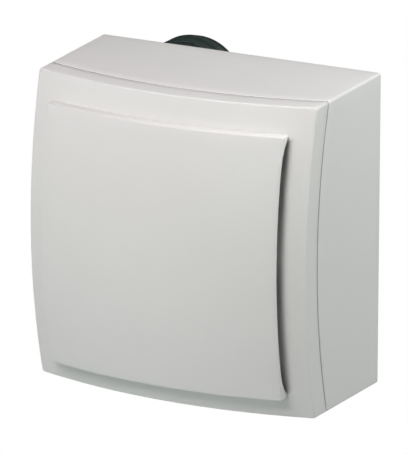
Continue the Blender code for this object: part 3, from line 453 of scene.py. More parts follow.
sheetLook = {
    "flutes": 130.0,
    "dark": (0.50, 0.57, 0.62, 1),
    "light": (0.74, 0.79, 0.82, 1),
    "bump": (0.4, 0.3 * mm),
    "rough": 0.28,
}


def sheetFinish():
    # thin stacked plates: fine flutes across the stack
    look = sheetLook
    material, make, calc = newMaterial("exchangerSheets")
    place = objectPlace(make)
    flutes = make("ShaderNodeTexWave", {"Vector": place, "Scale": look["flutes"], "Distortion": 0.0},
                  bands_direction="Y").outputs["Fac"]
    haze = make("ShaderNodeTexNoise", {"Vector": place, "Scale": 60.0, "Detail": 3.0}).outputs["Fac"]
    tone = calc("ADD", calc("MULTIPLY", flutes, 0.5), calc("MULTIPLY", haze, 0.5))
    colour = colourMix(make, tone, look["dark"], look["light"])
    return wire(material, colour, flutes, look["bump"], look["rough"])


fleeceLook = {
    "fibres": 900.0,
    "dark": (0.62, 0.63, 0.61, 1),
    "light": (0.90, 0.90, 0.88, 1),
    "bump": (0.7, 0.4 * mm),
    "rough": 0.95,
    "sheen": 0.25,
}


def fleeceFinish():
    look = fleeceLook
    material, make, calc = newMaterial("filterFleece")
    place = objectPlace(make)
    fibres = make("ShaderNodeTexNoise", {
        "Vector": place, "Scale": look["fibres"], "Detail": 4.0, "Distortion": 1.5})
    cloud = make("ShaderNodeTexNoise", {"Vector": place, "Scale": 70.0, "Detail": 2.0}).outputs["Fac"]
    tone = calc("ADD", calc("MULTIPLY", fibres.outputs["Fac"], 0.6), calc("MULTIPLY", cloud, 0.4))
    material.node_tree.nodes["Principled BSDF"].inputs["Sheen Weight"].default_value = look["sheen"]
    colour = colourMix(make, tone, look["dark"], look["light"])
    return wire(material, colour, fibres.outputs["Fac"], look["bump"], look["rough"])


webbingLook = {
    "threads": 240.0,
    "dark": (0.42, 0.13, 0.02, 1),
    "light": (0.80, 0.33, 0.06, 1),
    "bump": (0.8, 0.4 * mm),
    "rough": 0.8,
}


def webbingFinish():
    look = webbingLook
    material, make, calc = newMaterial("pullWebbing")
    place = objectPlace(make)
    across, along = [make("ShaderNodeTexWave", {"Vector": place, "Scale": look["threads"]},
                          bands_direction=way).outputs["Fac"] for way in "XZ"]
    weave = calc("MULTIPLY", across, along)
    colour = colourMix(make, weave, look["dark"], look["light"])
    return wire(material, colour, weave, look["bump"], look["rough"])


boardLook = {
    "tracks": 90.0,
    "trackGap": 0.06,
    "green": (0.02, 0.16, 0.07, 1),
    "darkGreen": (0.015, 0.11, 0.05, 1),
    "track": (0.10, 0.33, 0.12, 1),
    "bump": (0.3, 0.2 * mm),
    "rough": 0.25,
}


def boardFinish():
    # lacquered board: copper tracks under green lacquer
    look = boardLook
    material, make, _ = newMaterial("circuitLacquer")
    turned = (math.pi / 2, 0, 0)  # the tracks lie in the board's upright plane
    stood = make("ShaderNodeMapping", {"Vector": objectPlace(make), "Rotation": turned}).outputs[0]
    cells = make("ShaderNodeTexBrick", {
        "Vector": stood, "Scale": look["tracks"], "Mortar Size": look["trackGap"], "Color1": look["green"],
        "Color2": look["darkGreen"], "Mortar": look["track"]})
    return wire(material, cells.outputs["Color"], cells.outputs["Fac"], look["bump"], look["rough"])


panelSizes = {
    "corner": 2.2 * mm,
    "edge": 1.0 * mm,  # rounding of the outer edge
    "rise": 11.5 * mm,
    "wall": 2.5 * mm,
    "foot": 0.6 * mm,
    "archRim": 3 * mm,  # edge left in front of the side air gap
    "archMargin": 4 * mm,
    "sideBand": 3 * mm,  # an edge this near the side belongs to the arch
    "archPower": 16,  # higher turns the ends of the arch more sharply
    "soft": 0.3 * mm,
    "leastCorner": 0.4 * mm,
    "faceSteps": 16,
    "edgeSteps": 6,
}


def panelFoot(x, z, halfX, low, high):
    # depth of the wall's free edge: it rises in a long arch along both sides
    size = panelSizes
    middle, reach = (high + low) / 2, (high - low) / 2 - size["archMargin"]
    if abs(abs(x) - halfX) > size["sideBand"] or abs(z - middle) > reach:
        return -size["foot"]
    share = abs(z - middle) / reach
    start = -size["rise"] + size["archRim"]
    return start + (-size["foot"] - start) * share ** size["archPower"]


def buildPanel(material):
    size = panelSizes
    halfX, low, high = panelHigh.x, panelLow.z, panelHigh.z
    middle = (low + high) / 2
    shell = Shell()

    def ring(inset):
        radius = max(size["corner"] - inset, size["leastCorner"])
        return outline(halfX - inset, low + inset, high - inset, radius)

    face, faceSteps = ring(size["edge"]), size["faceSteps"]
    for i in range(1, faceSteps):
        shell.loop(scaled(face, i / faceSteps, middle), -size["rise"])
    for i in range(size["edgeSteps"] + 1):
        turn = math.pi / 2 * i / size["edgeSteps"]
        inset = size["edge"] * (1 - math.sin(turn))
        shell.loop(ring(inset), -size["rise"] + size["edge"] * (1 - math.cos(turn)))
    outer, inner = ring(0), ring(size["wall"])
    foot = [panelFoot(x, z, halfX, low, high) for x, z in outer]
    soft = size["soft"]
    top = -size["rise"] + size["edge"]
    shell.loop(outer, [top + (y - soft - top) * 0.5 for y in foot])
    shell.loop(outer, [y - soft for y in foot])
    shell.loop(ring(soft), foot)
    shell.loop(ring(size["wall"] - soft), foot)
    shell.loop(inner, [y - soft for y in foot])
    shell.loop(inner, -size["rise"] + size["wall"])
    for i in range(faceSteps - 1, 0, -1):
        shell.loop(scaled(inner, i / faceSteps, middle), -size["rise"] + size["wall"])
    return smooth(bendShell(shell.build("panelShell"), material))


frameSizes = {
    "corner": 2.4 * mm,
    "edge": 1.5 * mm,  # rounding of the rim
    "lip": 1.3 * mm,
    "lipClearance": 0.5 * mm,
    "lipOverlap": 4 * mm,
    "sideGap": 7 * mm,
    "recess": 10 * mm,
    "recessInset": 5 * mm,
    "recessCorner": 3 * mm,
    "crest": 1.2 * mm,  # the soft side ends this far outside the recess
    "rampStart": 4.6 * mm,  # and starts this far inside its floor
    "louvreLength": 48 * mm,
    "louvreSlot": 7.5 * mm,
    "louvreBar": 6.5 * mm,
    "louvreStart": 9 * mm,
    "louvreInset": 12 * mm,
    "louvreCount": 5,
    "louvreCut": 60 * mm,  # depth of the block that cuts a louvre
    "floorSteps": 12,
    "sideSteps": 14,
    "faceSteps": 6,
    "edgeSteps": 8,
    "backDepths": (3 * mm, 6 * mm, 9 * mm, 12 * mm),
    "lipFillet": 2 * mm,
}


def recessRing(depth, grow=0.0):
    # outline of the space behind the panel at this depth: its sides lean in at 45 degrees
    low = panelLow.z + frameSizes["recessInset"] - grow
    high = panelHigh.z - frameSizes["recessInset"] + grow
    half = panelHigh.x + frameSizes["sideGap"] + grow * math.sqrt(2) - depth
    return outline(half, low, high, frameSizes["recessCorner"])


def louvreTree():
    # a field of slots as boxes, for cutting
    tree, make, _, given = geometryTree("louvreField", {
        "Count": ("Int", 5), "Pitch": ("Float", 0.014), "Length": ("Float", 0.05), "Slot": ("Float", 0.007),
        "Depth": ("Float", 0.03), "Place": ("Vector", (0, 0, 0)), "Material": ("Material", None)})
    step = make("ShaderNodeCombineXYZ", {"Z": given["Pitch"]}).outputs[0]
    line = make("GeometryNodeMeshLine", {
        "Count": given["Count"], "Start Location": given["Place"], "Offset": step}).outputs[0]
    size = make("ShaderNodeCombineXYZ", {"X": given["Length"], "Y": given["Depth"], "Z": given["Slot"]})
    block = make("GeometryNodeMeshCube", {"Size": size.outputs[0]}).outputs["Mesh"]
    placed = make("GeometryNodeInstanceOnPoints", {"Points": line, "Instance": block}).outputs[0]
    return closeTree(tree, make, placed, given["Material"])


def louvreCutters():
    size = frameSizes
    tree = louvreTree()
    pitch = size["louvreSlot"] + size["louvreBar"]
    middleX = panelHigh.x - size["louvreInset"] - size["louvreLength"] / 2
    first = size["louvreStart"] + size["louvreSlot"] / 2
    made = []
    for side in (1, -1):
        for level in (1, -1):
            start = first if level > 0 else -first - pitch * (size["louvreCount"] - 1)
            empty = meshObject("cutter", bmesh.new())
            place = (side * middleX, dome(middleX, 0) + size["recess"], start)
            runTree(empty, tree, {
                "Count": size["louvreCount"], "Pitch": pitch, "Length": size["louvreLength"],
                "Slot": size["louvreSlot"], "Depth": size["louvreCut"], "Place": place})
            made.append(empty)
    return made


def buildFrame(material):
    size = frameSizes
    shell = Shell()
    wall, back = unit["wall"], unit["frameRim"] - unit["seamGap"] / 2
    middle = (panelLow.z + panelHigh.z) / 2

    def ring(inset):
        return rimRing(size["corner"], inset)

    floor = recessRing(size["recess"], -size["rampStart"])
    floorSteps, steps = size["floorSteps"], size["sideSteps"]
    for i in range(1, floorSteps + 1):
        shell.loop(scaled(floor, i / floorSteps, middle), size["recess"])
    upper = recessRing(0, size["crest"])
    for i in range(1, steps + 1):
        share = i / steps
        rise = share * (2 - share)
        shell.loop(between(floor, upper, share), size["recess"] * (1 - rise))
    rim = ring(size["edge"])
    for i in range(1, size["faceSteps"]):
        share = i / size["faceSteps"]
        shell.loop(between(upper, rim, share), 0, flare=share)
    for i in range(size["edgeSteps"] + 1):
        turn = math.pi / 2 * i / size["edgeSteps"]
        inset = size["edge"] * (1 - math.sin(turn))
        shell.loop(ring(inset), size["edge"] * (1 - math.cos(turn)), flare=1)
    soft = unit["soft"]
    for i in range(1, 4):
        shell.loop(ring(0), size["edge"] + (back - soft - size["edge"]) * i / 3, flare=1)
    shell.loop(ring(soft * 0.3), back - soft * 0.3, flare=1)
    shell.loop(ring(soft), back, flare=1)
    lipOut = wall + size["lipClearance"]
    lipIn = lipOut + size["lip"]
    lipEnd = unit["frameRim"] + size["lipOverlap"]
    shell.loop(ring(lipOut), back)
    shell.loop(ring(lipOut), lipEnd - soft)
    shell.loop(ring(lipOut + soft), lipEnd)
    shell.loop(ring(lipIn), lipEnd)
    shell.loop(ring(lipIn), wall + size["lipFillet"])
    start = ring(lipIn + size["lipFillet"])
    shell.loop(start, wall)
    outside = recessRing(wall, wall)
    for i in range(1, 5):
        shell.loop(between(start, outside, i / 5), wall)
    for depth in size["backDepths"]:
        shell.loop(recessRing(depth, wall), depth)
    floor = recessRing(size["recess"] + wall, wall)
    for i in range(floorSteps, 0, -1):
        shell.loop(scaled(floor, i / floorSteps, middle), size["recess"] + wall)
    obj = bendShell(shell.build("frameShell"), material)
    cutWith(obj, *louvreCutters())
    return smooth(obj)


caseSizes = {
    "corner": 2.4 * mm,
    "edge": 1.6 * mm,
    "ductHole": 47.3 * mm,
    "glandHole": 6.5 * mm,
    "drainHole": 4.3 * mm,
    "keyhole": 4.5 * mm,
    "keySlot": 2.3 * mm,
    "keyX": 113.2 * mm,
    "keyZ": 24 * mm,
    "keyRun": 9.5 * mm,
    "drainRise": 5.1 * mm,  # the drain's middle above the tray's lowest point
    "cutReach": 20 * mm,
    "backSteps": 6,
    "edgeSteps": 5,
    "sideSteps": 10,
}


def buildCase(material):
    size = caseSizes
    shell = Shell()
    wall, front = unit["wall"], unit["frameRim"] + unit["seamGap"] / 2

    def ring(inset):
        return rimRing(size["corner"], inset)

    rim, backSteps = ring(size["edge"]), size["backSteps"]
    for i in range(1, backSteps):
        shell.loop(scaled(rim, i / backSteps, 0), 0, bend=0, flare=1)
    for i in range(size["edgeSteps"] + 1):
        turn = math.pi / 2 * i / size["edgeSteps"]
        inset = size["edge"] * (1 - math.sin(turn))
        shell.loop(ring(inset), -size["edge"] * (1 - math.cos(turn)), bend=0, flare=1)
    soft, steps = unit["soft"], size["sideSteps"]
    for i in range(1, steps + 1):
        share = i / steps
        shell.loop(ring(0), (front + soft) * share - size["edge"] * (1 - share), bend=share, flare=1)
    shell.loop(ring(soft * 0.3), front + soft * 0.3, flare=1)
    shell.loop(ring(soft), front, flare=1)
    shell.loop(ring(wall), front, flare=1)
    for i in range(steps, -1, -1):
        share = i / steps
        shell.loop(ring(wall), (front + soft) * share - wall * (1 - share), bend=share, flare=1)
    inner = ring(wall)
    for i in range(backSteps - 1, 0, -1):
        shell.loop(scaled(inner, i / backSteps, 0), -wall, bend=0, flare=1)
    obj = bendShell(shell.build("caseShell"), material)
    reach = size["cutReach"]
    cutters = [rodCutter(ductX, side * ductZ, -reach, reach, size["ductHole"], 96) for side in (1, -1)]
    cutters.append(rodCutter(middleOf("cable_gland").x, 0, -reach, reach, size["glandHole"]))
    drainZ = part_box("drain_tray")[0].z + size["drainRise"]
    cutters.append(rodCutter(-ductX, drainZ, -reach, reach, size["drainHole"]))
    for side in (1, -1):
        for level in (1, -1):
            x, z = side * size["keyX"], level * size["keyZ"]
            top, slot = z + size["keyRun"], size["keySlot"]
            cutters.append(rodCutter(x, z, -reach, reach, size["keyhole"], 32))
            cutters.append(rodCutter(x, top, -reach, reach, slot, 24))
            cutters.append(boxCutter((x - slot, -reach, z), (x + slot, reach, top)))
    cutWith(obj, *cutters)
    return smooth(obj)


def middleOf(node):
    low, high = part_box(node)
    return (low + high) / 2


seamSizes = {
    "depth": 1.2 * mm,  # how far the strip lies below the sides
    "topDepth": 0.2 * mm,  # and below the top, where dust would settle
    "inner": 3.2 * mm,
    "half": 0.5 * mm,
    "soft": 0.25 * mm,
    "corner": 2.4 * mm,
}


def buildSeam(material):
    size = seamSizes
    middle, half, soft = unit["frameRim"], size["half"], size["soft"]
    shell = Shell()

    outer, bore = (size["depth"], size["topDepth"]), (size["inner"], size["inner"])
    eased = (outer[0] + soft, outer[1] + soft)
    section = ((bore, -half), (eased, -half), (outer, soft - half), (outer, half - soft), (eased, half),
               (bore, half))
    for place, depth in section:
        shell.loop(rimRing(size["corner"], *place), middle + depth, flare=1)
    return smooth(bendShell(bandMesh("seamSeal", shell.loops), material))


def bandMesh(name, loops):
    # a closed band: its last loop meets its first, and there are no end caps
    made = bmesh.new()
    bendLayer = made.verts.layers.float.new("bend")
    flareLayer = made.verts.layers.float.new("flare")
    rings = []
    for loop in loops:
        ring = []
        for x, y, z, bend, flare in loop:
            v = made.verts.new((x, y, z))
            v[bendLayer] = bend
            v[flareLayer] = flare
            ring.append(v)
        rings.append(ring)
    for ring, after in zip(rings, rings[1:] + rings[:1]):
        for i in range(len(ring)):
            j = (i + 1) % len(ring)
            made.faces.new((ring[i], ring[j], after[j], after[i]))
    return meshObject(name, made)


ductSizes = {
    "steps": 128,
    "lips": 2,
    "lipPitch": 13 * mm,
    "firstLip": 53.5 * mm,
    "lipHeight": 2.5 * mm,
    "sleeve": 0.9 * mm,
    "gap": 0.3 * mm,
    "outer": 47 * mm,
    "inner": 44.6 * mm,
    "flange": 3.5 * mm,
    "flangeThickness": 2 * mm,
    "flangeRear": -3.3 * mm,
    "flangeSoft": 0.4 * mm,
    "bead": 0.7 * mm,
    "soft": 0.3 * mm,
    "lipShape": ((0.0, -2.6), (0.25, -2.1), (0.62, -1.3), (0.93, -0.7), (1.0, -0.3), (1.0, 0.1), (0.9, 0.35),
                 (0.5, 0.45), (0.15, 0.7), (0.0, 1.2)),  # share of the lip's height, and mm along the sleeve
}


def turnedMesh(name, profile, x, z, material, steps):
    made = bmesh.new()
    rings = []
    for radius, y in profile:
        turns = [2 * math.pi * i / steps for i in range(steps)]
        ring = [(x + radius * math.cos(t), y, z + radius * math.sin(t)) for t in turns]
        rings.append([made.verts.new(point) for point in ring])
    for ring, after in zip(rings, rings[1:] + rings[:1]):
        for i in range(steps):
            j = (i + 1) % steps
            made.faces.new((ring[i], ring[j], after[j], after[i]))
    return smooth(meshObject(name, made, material))


def buildSpigot(name, z, material):
    size = ductSizes
    start, end = spigotLow.y, spigotHigh.y
    outer, inner, flange = size["outer"], size["inner"], size["outer"] + size["flange"]
    rear, soft, r = size["flangeRear"], size["flangeSoft"], size["bead"]
    front = rear - size["flangeThickness"]
    rounded = [(outer - r * (1 - math.cos(t)), end - r * (1 - math.sin(t))) for t in (0, 0.5, 1.05, 1.57)]
    profile = [(inner, start), (outer, start), (outer, front), (flange - soft, front),
               (flange, front + soft), (flange, rear - soft), (flange - soft, rear), (outer, rear)]
    profile += rounded + [(inner + r, end), (inner, end - r)]
    return turnedMesh(name, profile, ductX, z, material, size["steps"])


def sealTree():
    # rubber sleeve with lips: one lip profile repeated along the sleeve, then swept round the duct
    tree, make, _, given = geometryTree("ringSweep", {
        "Radius": ("Float", 0.047), "Steps": ("Int", 96), "Place": ("Vector", (0, 0, 0)),
        "Material": ("Material", None)})
    circle = make("GeometryNodeCurvePrimitiveCircle", {
        "Resolution": given["Steps"], "Radius": given["Radius"]}).outputs["Curve"]
    profile = make("GeometryNodeMeshToCurve", {"Mesh": given["Geometry"]}).outputs[0]
    swept = make("GeometryNodeCurveToMesh", {"Curve": circle, "Profile Curve": profile}).outputs[0]
    stood = make("GeometryNodeTransform", {
        "Geometry": swept, "Translation": given["Place"], "Rotation": (math.pi / 2, 0, 0)})
    return closeTree(tree, make, stood.outputs[0], given["Material"])


def lipProfile():
    # the sleeve's section as (height above the duct, place along it)
    size = ductSizes
    low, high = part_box("exhaust_lip_seal")
    start, end, soft = low.y, high.y, size["soft"]
    skin, tip = size["sleeve"], size["lipHeight"] - size["gap"]
    points = [(0, start), (skin - soft, start), (skin, start + soft)]
    for i in range(size["lips"]):
        y = size["firstLip"] + size["lipPitch"] * i
        for height, along in size["lipShape"]:
            points.append((skin + (tip - skin) * height, y + along * mm))
    points += [(skin, end - soft), (skin - soft, end), (0, end)]
    return points


def buildSeal(name, z, material):
    made = bmesh.new()
    verts = [made.verts.new((height, along, 0)) for height, along in lipProfile()]
    for i in range(len(verts)):
        made.edges.new((verts[i], verts[(i + 1) % len(verts)]))
    obj = plainObject(name, made)
    radius = ductSizes["outer"] + ductSizes["gap"]
    runTree(obj, ringSweep, {
        "Radius": radius, "Steps": ductSizes["steps"], "Place": (ductX, 0, z), "Material": material})
    made = bmesh.new()
    made.from_mesh(obj.data)
    bmesh.ops.recalc_face_normals(made, faces=made.faces)
    made.to_mesh(obj.data)
    made.free()
    return smooth(obj, 50)


def repeatTree():
    # puts one small piece on each point
    tree, make, calc, given = geometryTree("repeatOnPoints", {
        "Piece": ("Object", None), "Turn Step": ("Float", 0.7), "Material": ("Material", None)})
    piece = make("GeometryNodeObjectInfo", {"Object": given["Piece"]}).outputs["Geometry"]
    turn = calc("MULTIPLY", make("GeometryNodeInputIndex").outputs[0], given["Turn Step"])
    spin = make("ShaderNodeCombineXYZ", {"Y": turn}).outputs[0]
    placed = make("GeometryNodeInstanceOnPoints", {
        "Points": given["Geometry"], "Instance": piece, "Rotation": spin})
    return closeTree(tree, make, placed.outputs[0], given["Material"])


def repeatOn(name, piece, points, material, turnStep=0.0):
    made = bmesh.new()
    for point in points:
        made.verts.new(point)
    obj = plainObject(name, made)
    runTree(obj, repeat, {"Piece": piece, "Turn Step": turnStep, "Material": material})
    bpy.data.objects.remove(piece)
    return smooth(obj)


def solidTurned(name, profile, steps):
    # profile of (radius, y) from one end to the other, closed with a fan at each end
    made = bmesh.new()
    rings = []
    for radius, y in profile:
        turns = [2 * math.pi * i / steps for i in range(steps)]
        rings.append([made.verts.new((radius * math.cos(t), y, radius * math.sin(t))) for t in turns])
    for ring, after in zip(rings, rings[1:]):
        for i in range(steps):
            j = (i + 1) % steps
            made.faces.new((ring[i], ring[j], after[j], after[i]))
    for ring, (radius, y) in ((rings[0], profile[0]), (rings[-1], profile[-1])):
        pole = made.verts.new((0, y, 0))
        for i in range(steps):
            made.faces.new((ring[i], ring[(i + 1) % steps], pole))
    return meshObject(name, made)


fixings = {
    "studRadius": 2.4 * mm,
    "ballRadius": 3.1 * mm,
    "studFoot": 4.2 * mm,
    "bossRadius": 5 * mm,
    "bossHeight": 7.5 * mm,
    "socketRadius": 6 * mm,
    "socketBore": 3.4 * mm,
    "socketDepth": 5 * mm,
    "headRadius": 3.6 * mm,
    "headDepth": 2.4 * mm,
    "screwRadius": 2 * mm,
    "screwTurn": 0.9,  # the second screw's slot is turned by this much
    "thread": 0.9 * mm,
    "threadRun": 20 * mm,
    "screwBossRadius": 5.6 * mm,
    "screwBossBore": 2.3 * mm,
    "ribHalf": 1 * mm,
    "ribFront": 1.2 * mm,
    "ribBack": 0.6 * mm,
    "ribSteps": 24,
    "soft": 0.3 * mm,
}


def studPoints():
    # the four snap places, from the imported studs
    return [middleOf(f"panel_stud_{i}") for i in (1, 2, 3, 4)]


def buildStuds(material):
    size = fixings
    low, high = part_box("panel_stud_1")
    reach = (high.y - low.y) / 2
    r, ball, foot, soft = size["studRadius"], size["ballRadius"], size["studFoot"], size["soft"]
    core, tip = r * 0.55, 2.5 * mm  # the ball is swept about a core of this radius, this far from the tip
    profile = [(foot - soft, -reach), (foot, -reach + soft), (foot, -reach + 1.3 * mm),
               (foot - 0.4 * mm, -reach + 1.6 * mm), (r + 0.2 * mm, -reach + 1.9 * mm),
               (r, -reach + 2.3 * mm), (r, reach - 2 * tip)]
    for i in range(9):
        turn = math.pi * (0.12 + 0.76 * i / 8)
        profile.append((core + (ball - core) * math.sin(turn), reach - tip - tip * math.cos(turn)))
    profile.append((r * 0.5, reach))
    stud = solidTurned("stud", profile, 28)
    splitTip = boxCutter((-0.45 * mm, reach - 7 * mm, -ball), (0.45 * mm, reach + 1 * mm, ball))
    cutWith(stud, splitTip)
    return repeatOn("panelStuds", stud, studPoints(), material)


def ringProfile(bore, outer, y0, y1):
    soft = fixings["soft"]
    return [(bore, y0), (outer - soft, y0), (outer, y0 + soft), (outer, y1 - soft), (outer - soft, y1),
            (bore, y1)]


def buildSockets(material):
    size = fixings
    depth = frameSizes["recess"]
    profile = ringProfile(size["socketBore"], size["socketRadius"], -size["socketDepth"], 2.6 * mm)
    ring = turnedMesh("socket", profile, 0, 0, None, 40)
    points = [(p.x, dome(p.x, p.z) + depth, p.z) for p in studPoints()]
    return repeatOn("frameSockets", ring, points, material)


def buildPanelBosses(material):
    size = fixings
    radius, height, soft = size["bossRadius"], size["bossHeight"], size["soft"]
    top = -panelSizes["rise"]
    profile = [(radius, 0), (radius, height - 2.1 * mm), (radius - soft, height - 1.8 * mm)]
    rod = solidTurned("boss", profile, 36)
    points = [(p.x, dome(p.x, p.z) + top + 1.8 * mm, p.z) for p in studPoints()]
    return repeatOn("panelBosses", rod, points, material)


def buildPanelRib(material):
    # stiffening rib across the middle, behind the panel
    size = fixings
    reach, half, soft = panelHigh.x - frameSizes["louvreInset"], size["ribHalf"], size["soft"]
    front, back = -panelSizes["rise"] + size["ribFront"], frameSizes["recess"] - size["ribBack"]
    steps = size["ribSteps"]
    section = ((front, -half), (front, half), (back - soft, half), (back, half - soft), (back, soft - half),
               (back - soft, -half))
    made = bmesh.new()
    bendLayer = made.verts.layers.float.new("bend")
    rows = []
    for i in range(steps + 1):
        x = -reach + 2 * reach * i / steps
        row = [made.verts.new((x, y, z)) for y, z in section]
        for v in row:
            v[bendLayer] = 1.0
        rows.append(row)
    for row, after in zip(rows, rows[1:]):
        for i in range(len(section)):
            j = (i + 1) % len(section)
            made.faces.new((row[i], row[j], after[j], after[i]))
    made.faces.new(rows[0])
    made.faces.new(rows[-1])
    return smooth(bendShell(meshObject("panelRib", made), material))


def buildScrewBosses(material):
    size, z = fixings, middleOf("frame_screw_top").z
    floor = dome(0, z) + frameSizes["recess"]
    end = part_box("foam_lid")[0].y - 0.6 * mm
    profile = ringProfile(size["screwBossBore"], size["screwBossRadius"], 0.2 * mm, end - floor)
    ring = turnedMesh("screwBoss", profile, 0, 0, None, 36)
    points = [(0, floor, level * z) for level in (1, -1)]
    return repeatOn("frameScrewBosses", ring, points, material)


def buildScrews(material):
    size = fixings
    low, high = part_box("frame_screw_top")
    length = high.y - low.y
    head, body, under = size["headRadius"], size["screwRadius"], size["headDepth"]
    profile = [(head * 0.55, 0), (head * 0.82, 0.25 * mm), (head * 0.97, 0.9 * mm), (head, 1.6 * mm),
               (head, under), (body, under)]
    pitch = size["thread"]
    y = length - size["threadRun"]
    while y < length - 2.2 * mm:
        profile += [(body * 0.8, y), (body, y + pitch * 0.45), (body * 0.8, y + pitch * 0.9)]
        y += pitch
    profile += [(body * 0.75, length - 2 * mm), (body * 0.3, length)]
    screw = solidTurned("screw", profile, 28)
    arms = ((1.7 * mm, 0.4 * mm), (0.4 * mm, 1.7 * mm))  # the cross slot's half widths
    cross = [boxCutter((-a, -1 * mm, -b), (a, 1.3 * mm, b)) for a, b in arms]
    cutWith(screw, *cross)
    points = [(0, low.y, middleOf(f"frame_screw_{name}").z) for name in ("top", "bottom")]
    return repeatOn("frameScrews", screw, points, material, turnStep=size["screwTurn"])


view = {
    "place": (2.0574, -3.9271, 1.3583),
    "aim": (0.01955, -0.1067, 0.01325),
    "lens": 401.8,
}


def addCamera():
    data = bpy.data.cameras.new("camera")
    data.lens = view["lens"]
    data.sensor_width = 36.0
    data.clip_end = 60.0
    obj = bpy.data.objects.new("camera", data)
    bpy.context.scene.collection.objects.link(obj)
    obj.location = view["place"]
    obj.rotation_euler = (Vector(view["aim"]) - Vector(view["place"])).to_track_quat("-Z", "Y").to_euler()
    bpy.context.scene.camera = obj


studio = {
    "floorDrop": 0.62,
    "floorSize": 14.0,
    "backdrop": 1.0,  # what the camera sees behind the object
    "room": 0.0,  # soft light from all round
    "lamps": {
        # name: (place, size, power, colour)
        "key": ((0.0, -1.4, 1.2), 0.9, 12.0, (1.0, 0.90, 0.925)),
        "keyLeft": ((-0.25, -1.3, 1.25), 0.8, 6.0, (1.0, 0.90, 0.925)),
        "left": ((-1.4, -1.3, 0.9), 0.9, 6.7, (0.94, 1.0, 1.0)),
        "front": ((0.0, -3.2, 0.5), 1.6, 13.6, (0.79, 1.0, 0.88)),
        "top": ((0.0, -0.3, 1.7), 1.2, 1.2, (1.0, 1.0, 1.0)),
        "side": ((1.1, 0.25, 0.9), 0.8, 10.9, (0.97, 1.0, 1.0)),
        "sideNear": ((0.85, 0.2, 0.8), 0.6, 2.8, (1.0, 1.0, 0.95)),
    },
}


def addFloor():
    made = bmesh.new()
    half = studio["floorSize"] / 2
    drop = Matrix.Translation((0, 0, -studio["floorDrop"]))
    bmesh.ops.create_grid(made, x_segments=1, y_segments=1, size=half, matrix=drop)
    floor = meshObject("floor", made)
    material, make, _ = newMaterial("paleFloor")
    tree = material.node_tree
    pale = make("ShaderNodeBsdfDiffuse", {"Color": (0.75, 0.77, 0.77, 1)})
    bright = make("ShaderNodeEmission", {"Color": (1, 1, 1, 1), "Strength": studio["backdrop"]})
    seen = make("ShaderNodeLightPath").outputs["Is Camera Ray"]
    mixed = make("ShaderNodeMixShader", {0: seen, 1: pale.outputs[0], 2: bright.outputs[0]})
    tree.links.new(mixed.outputs[0], tree.nodes["Material Output"].inputs["Surface"])
    floor.data.materials.append(material)


def addLight():
    world = bpy.data.worlds.new("studio")
    bpy.context.scene.world = world
    world.use_nodes = True
    tree = world.node_tree
    tree.nodes.clear()
    make, _ = nodeMaker(tree)
    room = make("ShaderNodeBackground", {"Color": (0.97, 0.99, 1.0, 1), "Strength": studio["room"]})
    seen = make("ShaderNodeBackground", {"Color": (1, 1, 1, 1), "Strength": studio["backdrop"]})
    ray = make("ShaderNodeLightPath").outputs["Is Camera Ray"]
    mixed = make("ShaderNodeMixShader", {0: ray, 1: room.outputs[0], 2: seen.outputs[0]})
    make("ShaderNodeOutputWorld", {"Surface": mixed.outputs[0]})
    for name, (place, size, power, colour) in studio["lamps"].items():
        lamp = bpy.data.lights.new(name, "AREA")
        lamp.shape = "DISK"
        lamp.size = size
        lamp.energy = power
        lamp.color = colour
        obj = bpy.data.objects.new(name, lamp)
        bpy.context.scene.collection.objects.link(obj)
        obj.location = place
        obj.rotation_euler = (-Vector(place)).to_track_quat("-Z", "Y").to_euler()
    bpy.context.scene.view_settings.view_transform = "Standard"


print("camera and light")
addCamera()
addFloor()
addLight()

print("finishes")
groups = {"grain": grainGroup(), "mottle": mottleGroup(), "beads": beadGroup()}
domeBend = domeTree()
ringSweep = sealTree()
repeat = repeatTree()
satinWhite = mouldedFinish("satinWhite")
ductBlack = mouldedFinish("ductBlack")
sealRubber = mouldedFinish("sealRubber")
seamRubber = mouldedFinish("seamRubber")
mouldedBlack = mouldedFinish("mouldedBlack")
mouldedGrey = mouldedFinish("mouldedGrey")
sealFoam = mouldedFinish("sealFoam")
brushedSteel = metalFinish("brushedSteel")
windingCopper = metalFinish("windingCopper")
foamBeadsGrey = foamFinish()
exchangerSheets = sheetFinish()
filterFleece = fleeceFinish()
pullWebbing = webbingFinish()
circuitLacquer = boardFinish()

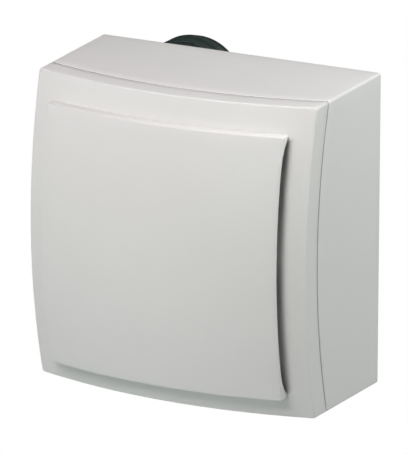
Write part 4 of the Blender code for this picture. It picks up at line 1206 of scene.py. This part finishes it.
print("carried-over nodes")
nodeFinish = {
    "case_post": satinWhite, "foam_": foamBeadsGrey, "plenum_": foamBeadsGrey,
    "exchanger_core": exchangerSheets, "core_end": mouldedGrey, "core_pull": pullWebbing,
    "core_seal": sealFoam, "cable_gland": sealRubber, "exhaust_fan_housing": mouldedBlack,
    "supply_fan_housing": mouldedBlack, "damper_housing": mouldedBlack, "exhaust_impeller": mouldedGrey,
    "supply_impeller": mouldedGrey, "damper_disc": mouldedGrey, "damper_motor": mouldedGrey,
    "exhaust_fan_motor": windingCopper, "supply_fan_motor": windingCopper,
    "exhaust_bearing": brushedSteel, "supply_bearing": brushedSteel, "exhaust_fan_shaft": brushedSteel,
    "supply_fan_shaft": brushedSteel, "exhaust_fan_lead": mouldedBlack, "supply_fan_lead": mouldedBlack,
    "flap_pin": brushedSteel, "flap_left": mouldedGrey, "flap_right": mouldedGrey,
    "extract_filter_frame": mouldedGrey, "outdoor_filter_frame": mouldedGrey,
    "extract_filter_media": filterFleece, "outdoor_filter_media": filterFleece,
    "drain_tray": mouldedGrey, "control_box": mouldedGrey, "control_board": circuitLacquer,
    "power_supply": mouldedBlack, "smoothing_capacitor": mouldedBlack, "terminal_block": mouldedGrey,
}
for name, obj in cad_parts.items():
    fits = [look for start, look in nodeFinish.items() if name.startswith(start)]
    if fits:
        obj.data.materials.clear()
        obj.data.materials.append(fits[-1])

print("panel")
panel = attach(buildPanel(satinWhite), "panel")
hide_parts("front_panel")
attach(buildPanelBosses(satinWhite), "panel")
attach(buildPanelRib(satinWhite), "panel")
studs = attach(buildStuds(mouldedGrey), "panel")
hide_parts("panel_stud_1", "panel_stud_2", "panel_stud_3", "panel_stud_4")

print("frame")
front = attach(buildFrame(satinWhite), "cover")
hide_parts("front_frame")
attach(buildSockets(satinWhite), "cover")
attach(buildScrewBosses(satinWhite), "cover")
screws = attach(buildScrews(brushedSteel), "cover")
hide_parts("frame_screw_top", "frame_screw_bottom")
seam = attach(buildSeam(seamRubber), "cover")
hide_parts("seam_seal")

print("case")
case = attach(buildCase(satinWhite), "casing")
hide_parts("rear_case")

print("ducts")
for prefix, z in (("exhaust", ductZ), ("outdoor", -ductZ)):
    spigot = buildSpigot(prefix + "Duct", z, ductBlack)
    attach(spigot, "casing")
    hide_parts(prefix + "_spigot")
    seal = buildSeal(prefix + "DuctSeal", z, sealRubber)
    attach(seal, "casing")
    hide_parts(prefix + "_lip_seal")

print("done")
